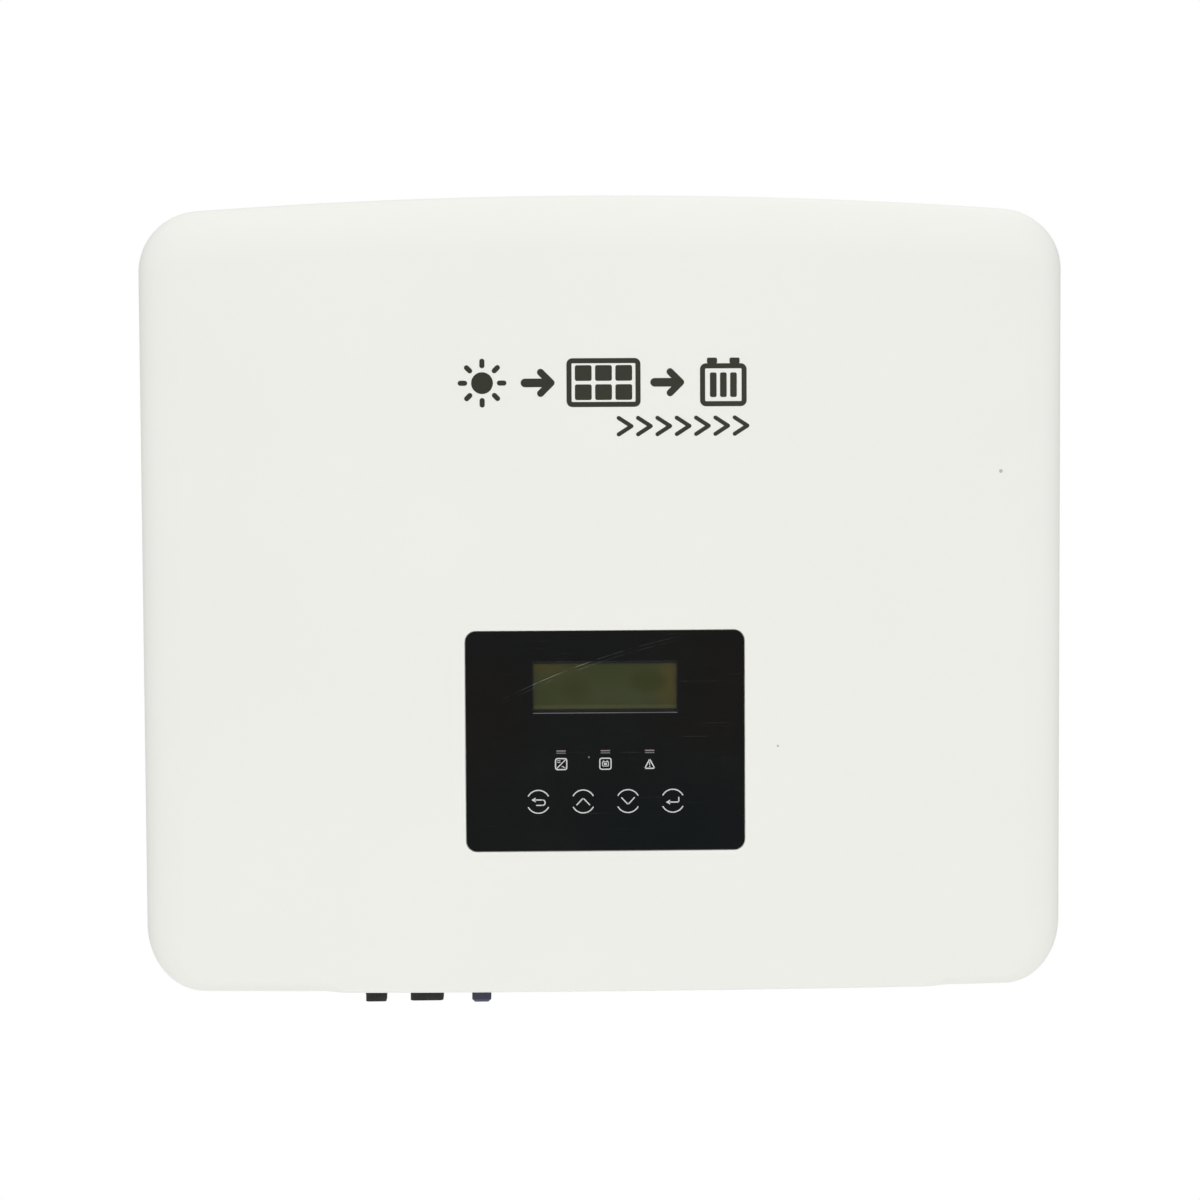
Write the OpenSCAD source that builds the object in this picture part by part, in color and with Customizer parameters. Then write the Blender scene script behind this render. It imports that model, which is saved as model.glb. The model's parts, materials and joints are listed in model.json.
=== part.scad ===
// String inverter: a wall-hung box with a white moulded cover, a finned heat sink
// behind it and all of its connections underneath.
// Frame: +Z up, the wall is the plane y = 0 and the unit stands out from it along -Y.
// The origin is the centre of the wall bracket's four fixing holes, on the wall.

/* [Cover] */
// Width of the front cover
cover_w = 482; // [476:1:580]
// Height of the front cover, at the middle of its arched top
cover_h = 413; // [344:1:496]
// Wall thickness of the front cover
cover_wall = 3; // [2:0.1:4]
// Corner radius of the cover, seen from the front
corner_r = 32; // [31:0.5:45]
// How much the top edge rises from its ends to its middle
top_arch = 9; // [0:0.5:12]
// How far the front face bows forward across its width
front_bow = 10; // [0:0.5:14]
// Radius between the front face and the top
top_round = 30; // [10:0.5:30]
// Radius between the front face and the sides
side_round = 24; // [10:0.5:30]
// Radius between the front face and the underside, beside the notch
bottom_round = 6.5; // [5:0.5:20]
// Distance from the cover's left side to the notch that the sockets stand in
notch_left = 107; // [90:1:115]
// Distance from the cover's right side to the notch
notch_right = 75; // [60:1:85]

/* [Display panel] */
// Width of the glossy display panel
panel_w = 144; // [120:1:172]
// Height of the display panel
panel_h = 114; // [95:1:136]
// Corner radius of the display panel
panel_r = 5.5; // [2:0.5:10]
// Thickness of the display panel
panel_t = 1.2; // [0.8:0.1:1.4]
// Height of the panel's middle above the cover's lower edge
panel_rise = 130.7; // [100:0.1:170]
// Width of the screen window
lcd_w = 75; // [60:0.5:90]
// Height of the screen window
lcd_h = 26.8; // [20:0.1:34]
// Height of the screen's middle above the panel's middle
lcd_rise = 27.7; // [22:0.1:34]
// Distance between neighbouring status lights
led_pitch = 22.9; // [18:0.1:30]
// Distance between neighbouring touch keys
key_pitch = 23.2; // [18:0.2:28]

/* [Depth] */
// Gap between the wall and the tips of the fins
wall_gap = 14; // [13:0.5:20]
// Depth of the cooling fins
fin_depth = 46; // [30:1:60]
// Thickness of the heat sink's base plate
sink_base = 8; // [7:0.5:12]
// Depth of the chassis tub
tub_depth = 81; // [74:1:98]
// Thickness of the chassis lid
lid_t = 2; // [1:0.1:3]
// Space between the lid and the inside of the cover
display_space = 24.5; // [20:0.5:40]

/* [Chassis] */
// Gap between the tub's sides and the cover's outline
side_gap = 15; // [12:0.5:20]
// Height of the tub's underside above the cover's lower edge
tub_rise = 9; // [6:0.5:12]
// Distance from the top of the cover down to the top of the tub
top_gap = 32; // [26:1:40]
// Sheet thickness of the tub
tub_wall = 2.5; // [1.5:0.1:3]
// Corner radius of the tub, the lid and the heat sink
tub_r = 8; // [4:0.5:12]
// Largest distance between neighbouring fins
fin_pitch = 9.5; // [7:0.5:14]
// Thickness of one fin
fin_t = 2; // [1.5:0.1:3]

/* [Wall bracket] */
// Distance from the top of the cover down to the fixing holes
bracket_drop = 130; // [110:1:160]
// Distance between the fixing holes across the wall
hole_dx = 240; // [210:1:300]
// Distance between the fixing holes up the wall
hole_dz = 36; // [32:1:42]
// Diameter of the fixing holes
hole_d = 9; // [6:0.5:11]
// Thickness of the bracket's sheet
bracket_t = 2.5; // [2:0.1:3]
// Height of the bracket's plate
bracket_h = 64; // [60:1:80]
// Height of the lip that the hang rail drops behind
lip_h = 14; // [10:0.5:16]

/* [Sockets] */
// Distance between the first and the second socket in a row
socket_pitch = 27.2; // [24:0.2:31]
// Distance between the second and the third socket in a row
battery_pitch = 29.2; // [26:0.2:34]
// Distance between the two rows of sockets
row_pitch = 36; // [28:1:43]
// Distance from the tub's front to the front row
row_front = 26; // [18:1:30]
// Length of a socket below the chassis
socket_len = 22.8; // [20:0.2:28]
// Width of the slim socket's nose
slim_w = 11.6; // [11:0.1:14]
// Width of the wide socket's shell
wide_w = 18.2; // [17:0.1:21]
// Diameter of a contact pin and of the sleeve contact's bore
contact_d = 4; // [3:0.1:4.4]
// Diameter of the battery socket's nose
battery_nose_d = 8.8; // [8:0.1:9.6]
// Width of the battery socket's dust cap
cap_w = 10.8; // [10.6:0.1:13]

/* [Hidden] */
$fn = 48;

// Planes along the depth, from the wall forwards.
sink_gasket_t = 1;
lid_gasket_t = 1.5;
y_fin = -wall_gap;
y_base = y_fin - fin_depth;
y_sink = y_base - sink_base;
y_tub = y_sink - sink_gasket_t;
y_tub_front = y_tub - tub_depth;
y_lid = y_tub_front - lid_gasket_t;
y_lid_front = y_lid - lid_t;
y_front = y_lid_front - display_space - cover_wall;

// Heights.
z_top = bracket_drop;
z_bot = z_top - cover_h;
z_tub = z_bot + tub_rise;
tub_h = cover_h - tub_rise - top_gap;
tub_w = cover_w - 2 * side_gap;
half_w = cover_w / 2;

// Small fits that more than one piece uses.
sheet_fit = 0.3;        // a plate in its recess, all round
screw_fit = 0.15;       // a screw in its clearance hole, on the radius
turn_fit = 0.06;        // a turning or sliding fit, on the radius
hole_fit = 0.2;         // a socket or a peg in its hole, on the radius
over = 1;               // how far a cutting tool runs past a face

// ---------------------------------------------------------------- helpers

function smooth(t) = t * t * (3 - 2 * t);
function mix(a, b, t) = a + (b - a) * smooth(t);

// A rectangle with round corners, centred.
module rounded(w, h, r) {
    square([w - 2 * r, h], center = true);
    square([w, h - 2 * r], center = true);
    for (sx = [-1, 1], sy = [-1, 1])
        translate([sx * (w / 2 - r), sy * (h / 2 - r)]) circle(r);
}

// A rectangle with its corners cut at 45 degrees, centred.
module chamfered(w, h, c) {
    polygon([
        [-w / 2 + c, -h / 2], [w / 2 - c, -h / 2], [w / 2, -h / 2 + c],
        [w / 2, h / 2 - c], [w / 2 - c, h / 2], [-w / 2 + c, h / 2],
        [-w / 2, h / 2 - c], [-w / 2, -h / 2 + c]
    ]);
}

// A round-cornered plate that stands upright: its back face is at y, its lower edge at z.
module slab(w, h, r, t, y, z) {
    translate([0, y, z + h / 2]) rotate([90, 0, 0]) linear_extrude(t) rounded(w, h, r);
}

// A block centred on x, from y forwards by t, from z up by h.
module block(w, t, h, x, y, z) {
    translate([x - w / 2, y - t, z]) cube([w, t, h]);
}

// A rod along -Y from y, with its axis at x, z.
module rod(d, length, x, y, z, sides = 32) {
    translate([x, y, z]) rotate([90, 0, 0]) cylinder(d = d, h = length, $fn = sides);
}

// Its children point downwards from the tub's underside at x, y.
module under(x, y) {
    translate([x, y, z_tub]) mirror([0, 0, 1]) children();
}

// ---------------------------------------------------------------- front cover

corner_x = half_w - corner_r;
arch_angle = atan(2 * top_arch * corner_x / (half_w * half_w));
arch_end_x = corner_x + corner_r * sin(arch_angle);
function arch_z(x) = z_top - top_arch * pow(x / half_w, 2);
function bow_y(x) = y_front + front_bow * pow(x / half_w, 2);
corner_top_z = arch_z(arch_end_x) - corner_r * cos(arch_angle);
corner_low_z = z_bot + corner_r;

notch_x0 = -half_w + notch_left;
notch_x1 = half_w - notch_right;
notch_fade = 14;        // length over which the lower rounding runs out beside the notch
notch_edge_r = 1.2;     // rounding of the bare lower edge over the notch
cover_back_y = y_tub - 6;

// The outline as [x, z, normal x, normal z, edge radius], anticlockwise from the lower left.
corner_n = 6;
function along(a, b, n) = [for (i = [0 : n - 1]) a + (b - a) * i / n];
bottom_xs = concat(
    along(-corner_x, notch_x0 - notch_fade, 3), along(notch_x0 - notch_fade, notch_x0, 4),
    along(notch_x0, notch_x1, 10), along(notch_x1, notch_x1 + notch_fade, 4),
    along(notch_x1 + notch_fade, corner_x, 2)
);
function bottom_r(x) =
    let (out = max(notch_x0 - x, x - notch_x1, 0))
    mix(notch_edge_r, bottom_round, min(out / notch_fade, 1));
function corner_point(side, z, a, r) =
    [side * (corner_x + corner_r * cos(a)), z + corner_r * sin(a), side * cos(a), sin(a), r];
function arch_point(x) =
    let (s = 2 * top_arch * x / (half_w * half_w), k = 1 / sqrt(1 + s * s))
    [x, arch_z(x), s * k, k, top_round];
outline = concat(
    [for (x = bottom_xs) [x, z_bot, 0, -1, bottom_r(x)]],
    [for (t = along(0, 1, corner_n))
        corner_point(1, corner_low_z, -90 * (1 - t), mix(bottom_round, side_round, t))],
    [for (z = along(corner_low_z, corner_top_z, 4)) [half_w, z, 1, 0, side_round]],
    [for (t = along(0, 1, corner_n))
        corner_point(1, corner_top_z, (90 - arch_angle) * t, mix(side_round, top_round, t))],
    [for (x = along(arch_end_x, -arch_end_x, 14)) arch_point(x)],
    [for (t = along(1, 0, corner_n))
        corner_point(-1, corner_top_z, (90 - arch_angle) * t, mix(side_round, top_round, t))],
    [for (z = along(corner_top_z, corner_low_z, 4)) [-half_w, z, -1, 0, side_round]],
    [for (t = along(1, 0, corner_n))
        corner_point(-1, corner_low_z, -90 * (1 - t), mix(bottom_round, side_round, t))]
);
ring_n = len(outline);

// One ring round the rounded edge: turn is 0 on the side wall and 90 on the front face.
function edge_ring(turn, wall) = [for (p = outline)
    let (
        r = max(p[4] - wall, 0.3),
        inset = wall + r * (1 - cos(turn)),
        x = p[0] - p[2] * inset,
        z = p[1] - p[3] * inset
    )
    [x, bow_y(x) + wall + r * (1 - sin(turn)), z]
];
function back_ring(wall) = [for (p = outline)
    [p[0] - p[2] * wall, cover_back_y, p[1] - p[3] * wall]
];
face_z = (z_bot + z_top) / 2;
function face_ring(ring, share, wall) = [for (p = ring)
    [p[0] * share, bow_y(p[0] * share) + wall, face_z + (p[2] - face_z) * share]
];
function flat(lists) = [for (l = lists) each l];
function skin_points(wall) = let (rim = edge_ring(90, wall)) flat([
    back_ring(wall),
    for (turn = [0 : 15 : 75]) edge_ring(turn, wall),
    rim,
    for (share = [0.8, 0.55, 0.25]) face_ring(rim, share, wall),
    [[0, bow_y(0) + wall, face_z]]
]);
skin_rings = 11;
skin_size = ring_n * skin_rings + 1;
function skin_faces(first, out) = flat([
    for (k = [0 : skin_rings - 2], i = [0 : ring_n - 1])
        let (
            a = first + k * ring_n + i,
            b = first + k * ring_n + (i + 1) % ring_n,
            c = a + ring_n,
            d = b + ring_n
        )
        out ? [[a, c, d], [a, d, b]] : [[a, d, c], [a, b, d]],
    for (i = [0 : ring_n - 1])
        let (
            a = first + (skin_rings - 1) * ring_n + i,
            b = first + (skin_rings - 1) * ring_n + (i + 1) % ring_n,
            tip = first + skin_size - 1
        )
        out ? [[a, tip, b]] : [[a, b, tip]]
]);
rim_faces = flat([for (i = [0 : ring_n - 1])
    let (j = (i + 1) % ring_n)
    [[i, j, skin_size + j], [i, skin_size + j, skin_size + i]]
]);

module cover_skin() {
    polyhedron(
        points = concat(skin_points(0), skin_points(cover_wall)),
        faces = concat(skin_faces(0, true), skin_faces(skin_size, false), rim_faces)
    );
}

// The display panel sits in a shallow rebate round the window.
panel_sink = 1.2;       // how far the panel lies below the highest point of the front
panel_ledge = 4;        // width of the ledge that the panel is bonded to
ledge_pad = 2;          // how much thicker the cover is round the window
pad_w = 4;              // how far that thicker band reaches past the panel
y_panel = y_front + panel_sink;
y_panel_back = y_panel + panel_t;
panel_z = z_bot + panel_rise;
window_w = panel_w - 2 * panel_ledge;
window_h = panel_h - 2 * panel_ledge;
board_boss_d = 8;
y_display_board = y_panel_back + 8.4;
boss_dx = window_w / 2 + board_boss_d / 2 + 1;
boss_dz = window_h / 2 - 12;

// The cover is screwed to four tabs on the sides of the tub.
tab_z = [z_bot + 70, z_top - 110];
tab_w = 24;
tab_depth = 20;
tab_t = 2;
tab_y = cover_back_y - 3;
tab_screw_y = tab_y - tab_depth / 2;
cover_screw_d = 4;
cover_head_d = 7.6;
sink_h = 1.8;

module cover_shell() {
    color("whitesmoke") difference() {
        union() {
            cover_skin();
            slab(panel_w + 2 * pad_w, panel_h + 2 * pad_w, panel_r + pad_w, cover_wall + ledge_pad - 1.5,
                y_front + cover_wall + ledge_pad, panel_z - panel_h / 2 - pad_w);
            for (sx = [-1, 1], sz = [-1, 1])
                rod(board_boss_d, y_display_board - y_front - cover_wall, sx * boss_dx,
                    y_display_board, panel_z + sz * boss_dz);
        }
        slab(window_w, window_h, panel_r - 1, 40, y_front + 20, panel_z - window_h / 2);
        slab(panel_w + 2 * sheet_fit, panel_h + 2 * sheet_fit, panel_r + sheet_fit, 20,
            y_panel_back, panel_z - panel_h / 2 - sheet_fit);
        translate([notch_x0, y_tub_front, z_bot - over])
            cube([notch_x1 - notch_x0, tub_depth, cover_wall + 2 * over]);
        translate([notch_x0, bow_y(half_w) + cover_wall, z_bot - over])
            cube([notch_x1 - notch_x0, y_tub_front - bow_y(half_w) - cover_wall + over,
                cover_wall + 2 * over]);
        for (sx = [-1, 1], z = tab_z)
            translate([sx * half_w, tab_screw_y, z]) rotate([0, sx * 90, 0]) {
                translate([0, 0, -cover_wall - over])
                    cylinder(d = cover_screw_d + 2 * screw_fit, h = cover_wall + 2 * over);
                countersink(screw_fit);
            }
        for (sx = [-1, 1], sz = [-1, 1])
            rod(2.5, 7, sx * boss_dx, y_display_board + over, panel_z + sz * boss_dz);
    }
}

module cover_tabs() {
    reach = side_gap - cover_wall;
    color("silver") for (sx = [-1, 1], z = tab_z) difference() {
        translate([sx * (tub_w / 2 + reach / 2), tab_y, z - tab_w / 2])
            rotate([90, 0, 0]) linear_extrude(tab_depth) translate([-reach / 2, 0])
                square([reach, tab_w]);
        translate([sx * (tub_w / 2 + reach / 2), tab_y + over, z - tab_w / 2 - over])
            rotate([90, 0, 0]) linear_extrude(tab_depth - tab_t + over)
                translate([-reach / 2 + tab_t, 0])
                    square([reach - 2 * tab_t, tab_w + 2 * over]);
        translate([sx * (half_w - cover_wall - tab_t - over), tab_screw_y, z])
            rotate([0, sx * 90, 0]) cylinder(d = cover_screw_d, h = tab_t + 2 * over);
    }
}

// The head of a countersunk screw, or the sink for it when it is made larger by extra.
module countersink(extra) {
    translate([0, 0, -sink_h])
        cylinder(d1 = cover_screw_d + 2 * extra, d2 = cover_head_d + 2 * extra, h = sink_h);
}

module cover_screws() {
    reach = cover_wall + tab_t + 2;
    color("lightgray") for (sx = [-1, 1], z = tab_z)
        translate([sx * half_w, tab_screw_y, z]) rotate([0, sx * 90, 0]) difference() {
            union() {
                countersink(0);
                translate([0, 0, -reach]) cylinder(d = cover_screw_d, h = reach);
            }
            translate([0, 0, -1.4]) cylinder(d = 2.9, h = 2, $fn = 6);
        }
}

// ---------------------------------------------------------------- chassis

front_flange = 14;
rear_flange = 22;
lid_screw_inset = 5;
sink_screw_inset = 18;
frame_screw_d = 4;
frame_screw_len = tub_wall + sink_gasket_t + 6;

// Places of the frame screws: four along the top and bottom, two more on each side.
function frame_places(inset) = let (
    x = tub_w / 2 - inset, low = z_tub + inset, high = z_tub + tub_h - inset
) concat(
    [for (f = [-1, -1 / 3, 1 / 3, 1], z = [low, high]) [f * x, z]],
    [for (sx = [-1, 1], f = [1 / 3, 2 / 3]) [sx * x, low + (high - low) * f]]
);

// A ring of the frame's outline, from inset a to inset b.
module frame_ring(a, b, t, y) {
    difference() {
        slab(tub_w - 2 * a, tub_h - 2 * a, max(tub_r - a, 1), t, y, z_tub + a);
        slab(tub_w - 2 * b, tub_h - 2 * b, max(tub_r - b, 1), t + 2 * over, y + over,
            z_tub + b);
    }
}

module chassis_tub() {
    color("gainsboro") difference() {
        union() {
            frame_ring(0, tub_wall, tub_depth, y_tub);
            frame_ring(0, rear_flange, tub_wall, y_tub);
            frame_ring(0, front_flange, tub_wall, y_tub_front + tub_wall);
        }
        for (p = frame_places(lid_screw_inset))
            rod(frame_screw_d, frame_screw_len + over, p[0], y_lid_front + frame_screw_len, p[1]);
        for (p = frame_places(sink_screw_inset))
            rod(frame_screw_d + 2 * screw_fit, tub_wall + 2 * over, p[0], y_tub + over, p[1]);
        underside_holes();
    }
}

module lid_gasket() {
    color("dimgray") frame_ring(8, 12, lid_gasket_t, y_tub_front);
}

ribbon_w = 30;
ribbon_t = 0.8;
ribbon_slot = 3;

module chassis_lid() {
    color("lightgray") difference() {
        slab(tub_w, tub_h, tub_r, lid_t, y_lid, z_tub);
        for (p = frame_places(lid_screw_inset))
            rod(frame_screw_d + 2 * screw_fit, lid_t + 2 * over, p[0], y_lid + over, p[1]);
        block(ribbon_w + 4, lid_t + 2 * over, 2 * ribbon_slot + ribbon_t, 0, y_lid + over,
            panel_z - ribbon_slot - ribbon_t / 2);
    }
}

// A pan-head screw along +Y: the head's underside is at y, the tip behind it.
module frame_screw(d, length, head_d, head_h, x, y, z) {
    difference() {
        union() {
            rod(head_d, head_h, x, y, z);
            rod(d, length + 0.1, x, y + length, z);
        }
        rod(d * 0.7, head_h, x, y - head_h * 0.4, z, 6);
    }
}

// The same screws hold the lid to the tub and the tub to the heat sink.
module frame_screws() {
    color("silver") {
        for (p = frame_places(lid_screw_inset))
            frame_screw(frame_screw_d, frame_screw_len, 7.4, 2.4, p[0], y_lid_front, p[1]);
        for (p = frame_places(sink_screw_inset))
            frame_screw(frame_screw_d, frame_screw_len, 7.4, 2.4, p[0], y_tub - tub_wall, p[1]);
    }
}

// ---------------------------------------------------------------- heat sink

fin_span = tub_w - fin_t;
fin_gaps = floor(fin_span / fin_pitch);
rail_t = 2.5;
rail_leg = 26;
rail_w = 220;
shelf_z = 8;
rail_z = shelf_z + 20;
y_rail = y_fin - rail_t;
rail_screw_x = [-95, -35, 35, 95];
rail_screw_z = rail_z + rail_t + rail_leg / 2;
rail_boss = 16;
rail_screw_d = 5;
bumper_d = 20;
bumper_x = tub_w / 2 - 50;
bumper_z = z_tub + 45;
bumper_peg_d = 8;
stud_d = 5;
stud_root_d = 6;        // the stud's thicker end, in the base plate and through its nut
stud_x = tub_w / 2 - 26;
stud_y = (y_base + y_sink) / 2;
stud_in = 12;
lock_d = 5;
lock_z = 0;
lock_in = 14;

// Places of the posts that carry the main board, clear of the tub's rear flange.
board_margin = 16;
board_low = 44;
board_high = 10;
board_w = tub_w - 2 * board_margin;
board_h = tub_h - board_low - board_high;
board_z = z_tub + board_low;
board_t = 1.6;
post_h = 14;
post_d = 7;
post_screw_d = 3;
y_board = y_sink - post_h;
y_board_front = y_board - board_t;
post_inset = rear_flange + post_d / 2 + 4;
post_x = tub_w / 2 - post_inset;
post_low = board_z + 10;
post_high = z_tub + tub_h - post_inset;
post_places = [for (x = [-post_x, 0, post_x], f = [0 : 3])
    [x, post_low + (post_high - post_low) * f / 3]];

module heat_sink() {
    color("silver") difference() {
        union() {
            slab(tub_w, tub_h, tub_r, sink_base, y_base, z_tub);
            difference() {
                intersection() {
                    slab(tub_w, tub_h, tub_r, fin_depth, y_fin, z_tub);
                    for (i = [0 : fin_gaps])
                        block(fin_t, fin_depth, tub_h, (i / fin_gaps - 0.5) * fin_span, y_fin,
                            z_tub);
                }
                block(rail_w + 4, rail_t + over, rail_leg + rail_t + 4, 0, y_fin + over,
                    rail_z - 2);
            }
            for (x = rail_screw_x)
                block(rail_boss, fin_depth - rail_t, rail_boss, x, y_rail,
                    rail_screw_z - rail_boss / 2);
            for (sx = [-1, 1])
                rod(bumper_d, fin_depth, sx * bumper_x, y_fin, bumper_z);
        }
        for (p = frame_places(sink_screw_inset))
            rod(frame_screw_d, 7, p[0], y_sink + 6, p[1]);
        for (x = rail_screw_x)
            rod(rail_screw_d, 16 + over, x, y_rail + over, rail_screw_z);
        for (sx = [-1, 1])
            rod(bumper_peg_d + 2 * hole_fit, 8 + over, sx * bumper_x, y_fin + over, bumper_z);
        for (p = post_places)
            rod(post_screw_d, 6 + over, p[0], y_sink + 6, p[1]);
        translate([stud_x, stud_y, z_tub - over]) cylinder(d = stud_root_d, h = stud_in + over);
        translate([tub_w / 2 - lock_in, stud_y, lock_z])
            rotate([0, 90, 0]) cylinder(d = lock_d, h = lock_in + over);
    }
}

module sink_gasket() {
    color("dimgray") frame_ring(5, 11, sink_gasket_t, y_sink);
}

// The rail is a Z-shaped strip: its upper leg is screwed to the fins' bosses and its
// lower leg drops behind the bracket's lips.
y_leg = -bracket_t - 2.5;
module hang_rail() {
    color("darkgray") difference() {
        union() {
            block(rail_w, rail_t, rail_leg + rail_t, 0, y_fin, rail_z);
            block(rail_w, y_leg - y_fin + rail_t, rail_t, 0, y_leg, rail_z);
            block(rail_w, rail_t, rail_z - shelf_z + rail_t, 0, y_leg, shelf_z);
        }
        for (x = rail_screw_x)
            rod(rail_screw_d + 2 * screw_fit, rail_t + 2 * over, x, y_fin + over, rail_screw_z);
    }
}

module rail_screws() {
    color("silver") for (x = rail_screw_x) difference() {
        union() {
            rod(9, 3, x, y_fin + 3, rail_screw_z);
            rod(rail_screw_d, rail_t + 12 + 0.1, x, y_fin + 0.1, rail_screw_z);
        }
        rod(4, 2, x, y_fin + 3 + 0.5, rail_screw_z, 6);
    }
}

module wall_bumpers() {
    color("dimgray") for (sx = [-1, 1]) {
        rod(bumper_d, wall_gap, sx * bumper_x, 0, bumper_z);
        rod(bumper_peg_d, 7.5 + over, sx * bumper_x, y_fin + over, bumper_z);
    }
}

// ---------------------------------------------------------------- wall bracket

ear_gap = 1;
lock_gap = 0.2;
ear_t = bracket_t;
ear_x = tub_w / 2 + ear_gap;
tongue_x = 75;
tongue_w = 40;
lip_y = y_leg - rail_t - 1;
ear_slot_d = lock_d + 1;

module wall_bracket() {
    plate_left = -tub_w / 2 + 40;
    color("darkgray") difference() {
        union() {
            translate([plate_left, -bracket_t, -bracket_h / 2])
                cube([ear_x + ear_t - plate_left, bracket_t, bracket_h]);
            for (sx = [-1, 1]) {
                block(tongue_w, -lip_y + bracket_t, bracket_t, sx * tongue_x, 0,
                    shelf_z - bracket_t);
                block(tongue_w, bracket_t, lip_h + bracket_t, sx * tongue_x, lip_y,
                    shelf_z - bracket_t);
            }
            translate([ear_x, stud_y - 8, -bracket_h / 2 + 16])
                cube([ear_t, -stud_y + 8, bracket_h - 24]);
        }
        for (sx = [-1, 1], sz = [-1, 1])
            rod(hole_d, bracket_t + 2 * over, sx * hole_dx / 2, over, sz * hole_dz / 2);
        translate([ear_x - over, stud_y, lock_z]) rotate([0, 90, 0])
            cylinder(d = ear_slot_d, h = ear_t + 2 * over);
        translate([ear_x - over, stud_y - ear_slot_d / 2, lock_z])
            cube([ear_t + 2 * over, ear_slot_d, bracket_h]);
    }
}

module lock_screw() {
    reach = lock_in - 1 + ear_gap + ear_t + lock_gap;
    color("silver") translate([ear_x + ear_t + lock_gap, stud_y, lock_z]) rotate([0, 90, 0])
        difference() {
            union() {
                cylinder(d = 10, h = 4);
                translate([0, 0, -reach]) cylinder(d = lock_d, h = reach + over);
            }
            translate([0, 0, 1.5]) cylinder(d = 5, h = 4, $fn = 6);
        }
}

// ---------------------------------------------------------------- display

led_z = panel_z - 5.7;
key_z = panel_z - 31.4;
led_w = 5.2;
led_h = 1.8;
led_xs = [for (i = [-1 : 1]) i * led_pitch];
key_xs = [for (i = [-1.5 : 1.5]) i * key_pitch];
lcd_z = panel_z + lcd_rise;
spring_d = 7;
lcd_frame_w = lcd_w + 22;
lcd_frame_h = lcd_h + 14;
display_gap = 0.3;
lcd_bezel_t = 0.6;
lcd_glass_t = 2.8;

module display_panel() {
    color([0.06, 0.06, 0.07]) difference() {
        slab(panel_w, panel_h, panel_r, panel_t, y_panel_back, panel_z - panel_h / 2);
        slab(lcd_w, lcd_h, 0.5, panel_t + 2 * over, y_panel_back + over, lcd_z - lcd_h / 2);
        for (x = led_xs)
            block(led_w, panel_t + 2 * over, led_h, x, y_panel_back + over, led_z - led_h / 2);
    }
}

module lcd_window() {
    color([0.6, 0.65, 0.6, 0.4])
        slab(lcd_w, lcd_h, 0.5, panel_t, y_panel_back, lcd_z - lcd_h / 2);
}

module display_carrier() {
    y = y_display_board;
    thick = y_display_board - y_panel_back - display_gap;
    color([0.15, 0.15, 0.16]) difference() {
        slab(window_w - 2 * sheet_fit, window_h - 2 * sheet_fit, panel_r - 1, thick, y,
            panel_z - window_h / 2 + sheet_fit);
        slab(lcd_frame_w + 2 * sheet_fit, lcd_frame_h + 2 * sheet_fit, 0.5,
            thick + 2 * over, y + over, lcd_z - lcd_frame_h / 2 - sheet_fit);
        for (x = led_xs)
            block(led_w, thick + 2 * over, led_h, x, y + over, led_z - led_h / 2);
        for (x = key_xs)
            rod(spring_d + 2, thick + 2 * over, x, y + over, key_z);
    }
}

module lcd_frame() {
    y = y_display_board;
    thick = y_display_board - y_panel_back - display_gap;
    color("darkgray") difference() {
        slab(lcd_frame_w, lcd_frame_h, 0.6, thick, y, lcd_z - lcd_frame_h / 2);
        slab(lcd_w - 1.2, lcd_h - 1.2, 0.5, thick + 2 * over, y + over,
            lcd_z - lcd_h / 2 + 0.6);
        block(lcd_w + 8, thick - lcd_bezel_t + over, lcd_h + 6, 0, y + over, lcd_z - lcd_h / 2 - 3);
    }
}

module lcd_glass() {
    color("darkolivegreen")
        block(lcd_w + 7, lcd_glass_t, lcd_h + 5, 0,
            y_panel_back + display_gap + lcd_bezel_t + lcd_glass_t, lcd_z - lcd_h / 2 - 2.5);
}

module light_pipes() {
    color("gray") for (x = led_xs)
        block(led_w, y_display_board - y_panel, led_h, x, y_display_board, led_z - led_h / 2);
}

module touch_springs() {
    length = y_display_board - y_panel_back;
    color("silver") for (x = key_xs) difference() {
        rod(spring_d, length, x, y_display_board, key_z);
        rod(spring_d - 1.4, length + 2 * over, x, y_display_board + over, key_z);
    }
}

module display_board() {
    color("darkgreen") difference() {
        union() {
            slab(window_w + 24, window_h - 2, 2, board_t, y_display_board + board_t,
                panel_z - window_h / 2 + 1);
            block(ribbon_w + 2, 4, 6, 0, y_display_board + board_t + 4, panel_z - 3);
            block(16, 2, 16, -40, y_display_board + board_t + 2, panel_z - 36);
        }
        for (sx = [-1, 1], sz = [-1, 1])
            rod(3 + 2 * screw_fit, board_t + 2 * over, sx * boss_dx,
                y_display_board + board_t + over, panel_z + sz * boss_dz);
    }
}

module display_screws() {
    color("silver") for (sx = [-1, 1], sz = [-1, 1]) {
        rod(5.5, 2, sx * boss_dx, y_display_board + board_t + 2, panel_z + sz * boss_dz);
        rod(2.5, board_t + 5, sx * boss_dx, y_display_board + board_t + 0.1,
            panel_z + sz * boss_dz);
    }
}

// The flat cable runs from the display board back through the lid to the control board.
module display_ribbon() {
    start = y_display_board + board_t + 4;
    end = y_control - 8;
    sag = 2;
    steps = [for (i = [0 : 10]) i / 10];
    color("lightgray") translate([-ribbon_w / 2, 0, panel_z]) rotate([90, 0, 90])
        linear_extrude(ribbon_w) polygon(concat(
            [for (t = steps) [start + (end - start) * t, -sag * sin(180 * t) + ribbon_t / 2]],
            [for (i = [10 : -1 : 0]) [start + (end - start) * i / 10,
                -sag * sin(18 * i) - ribbon_t / 2]]
        ));
}

// ---------------------------------------------------------------- main board

// A place on the main board: shares of its half width and of its height.
function on_board(fx, fz) = [fx * board_w / 2, board_z + fz * board_h];

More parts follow.
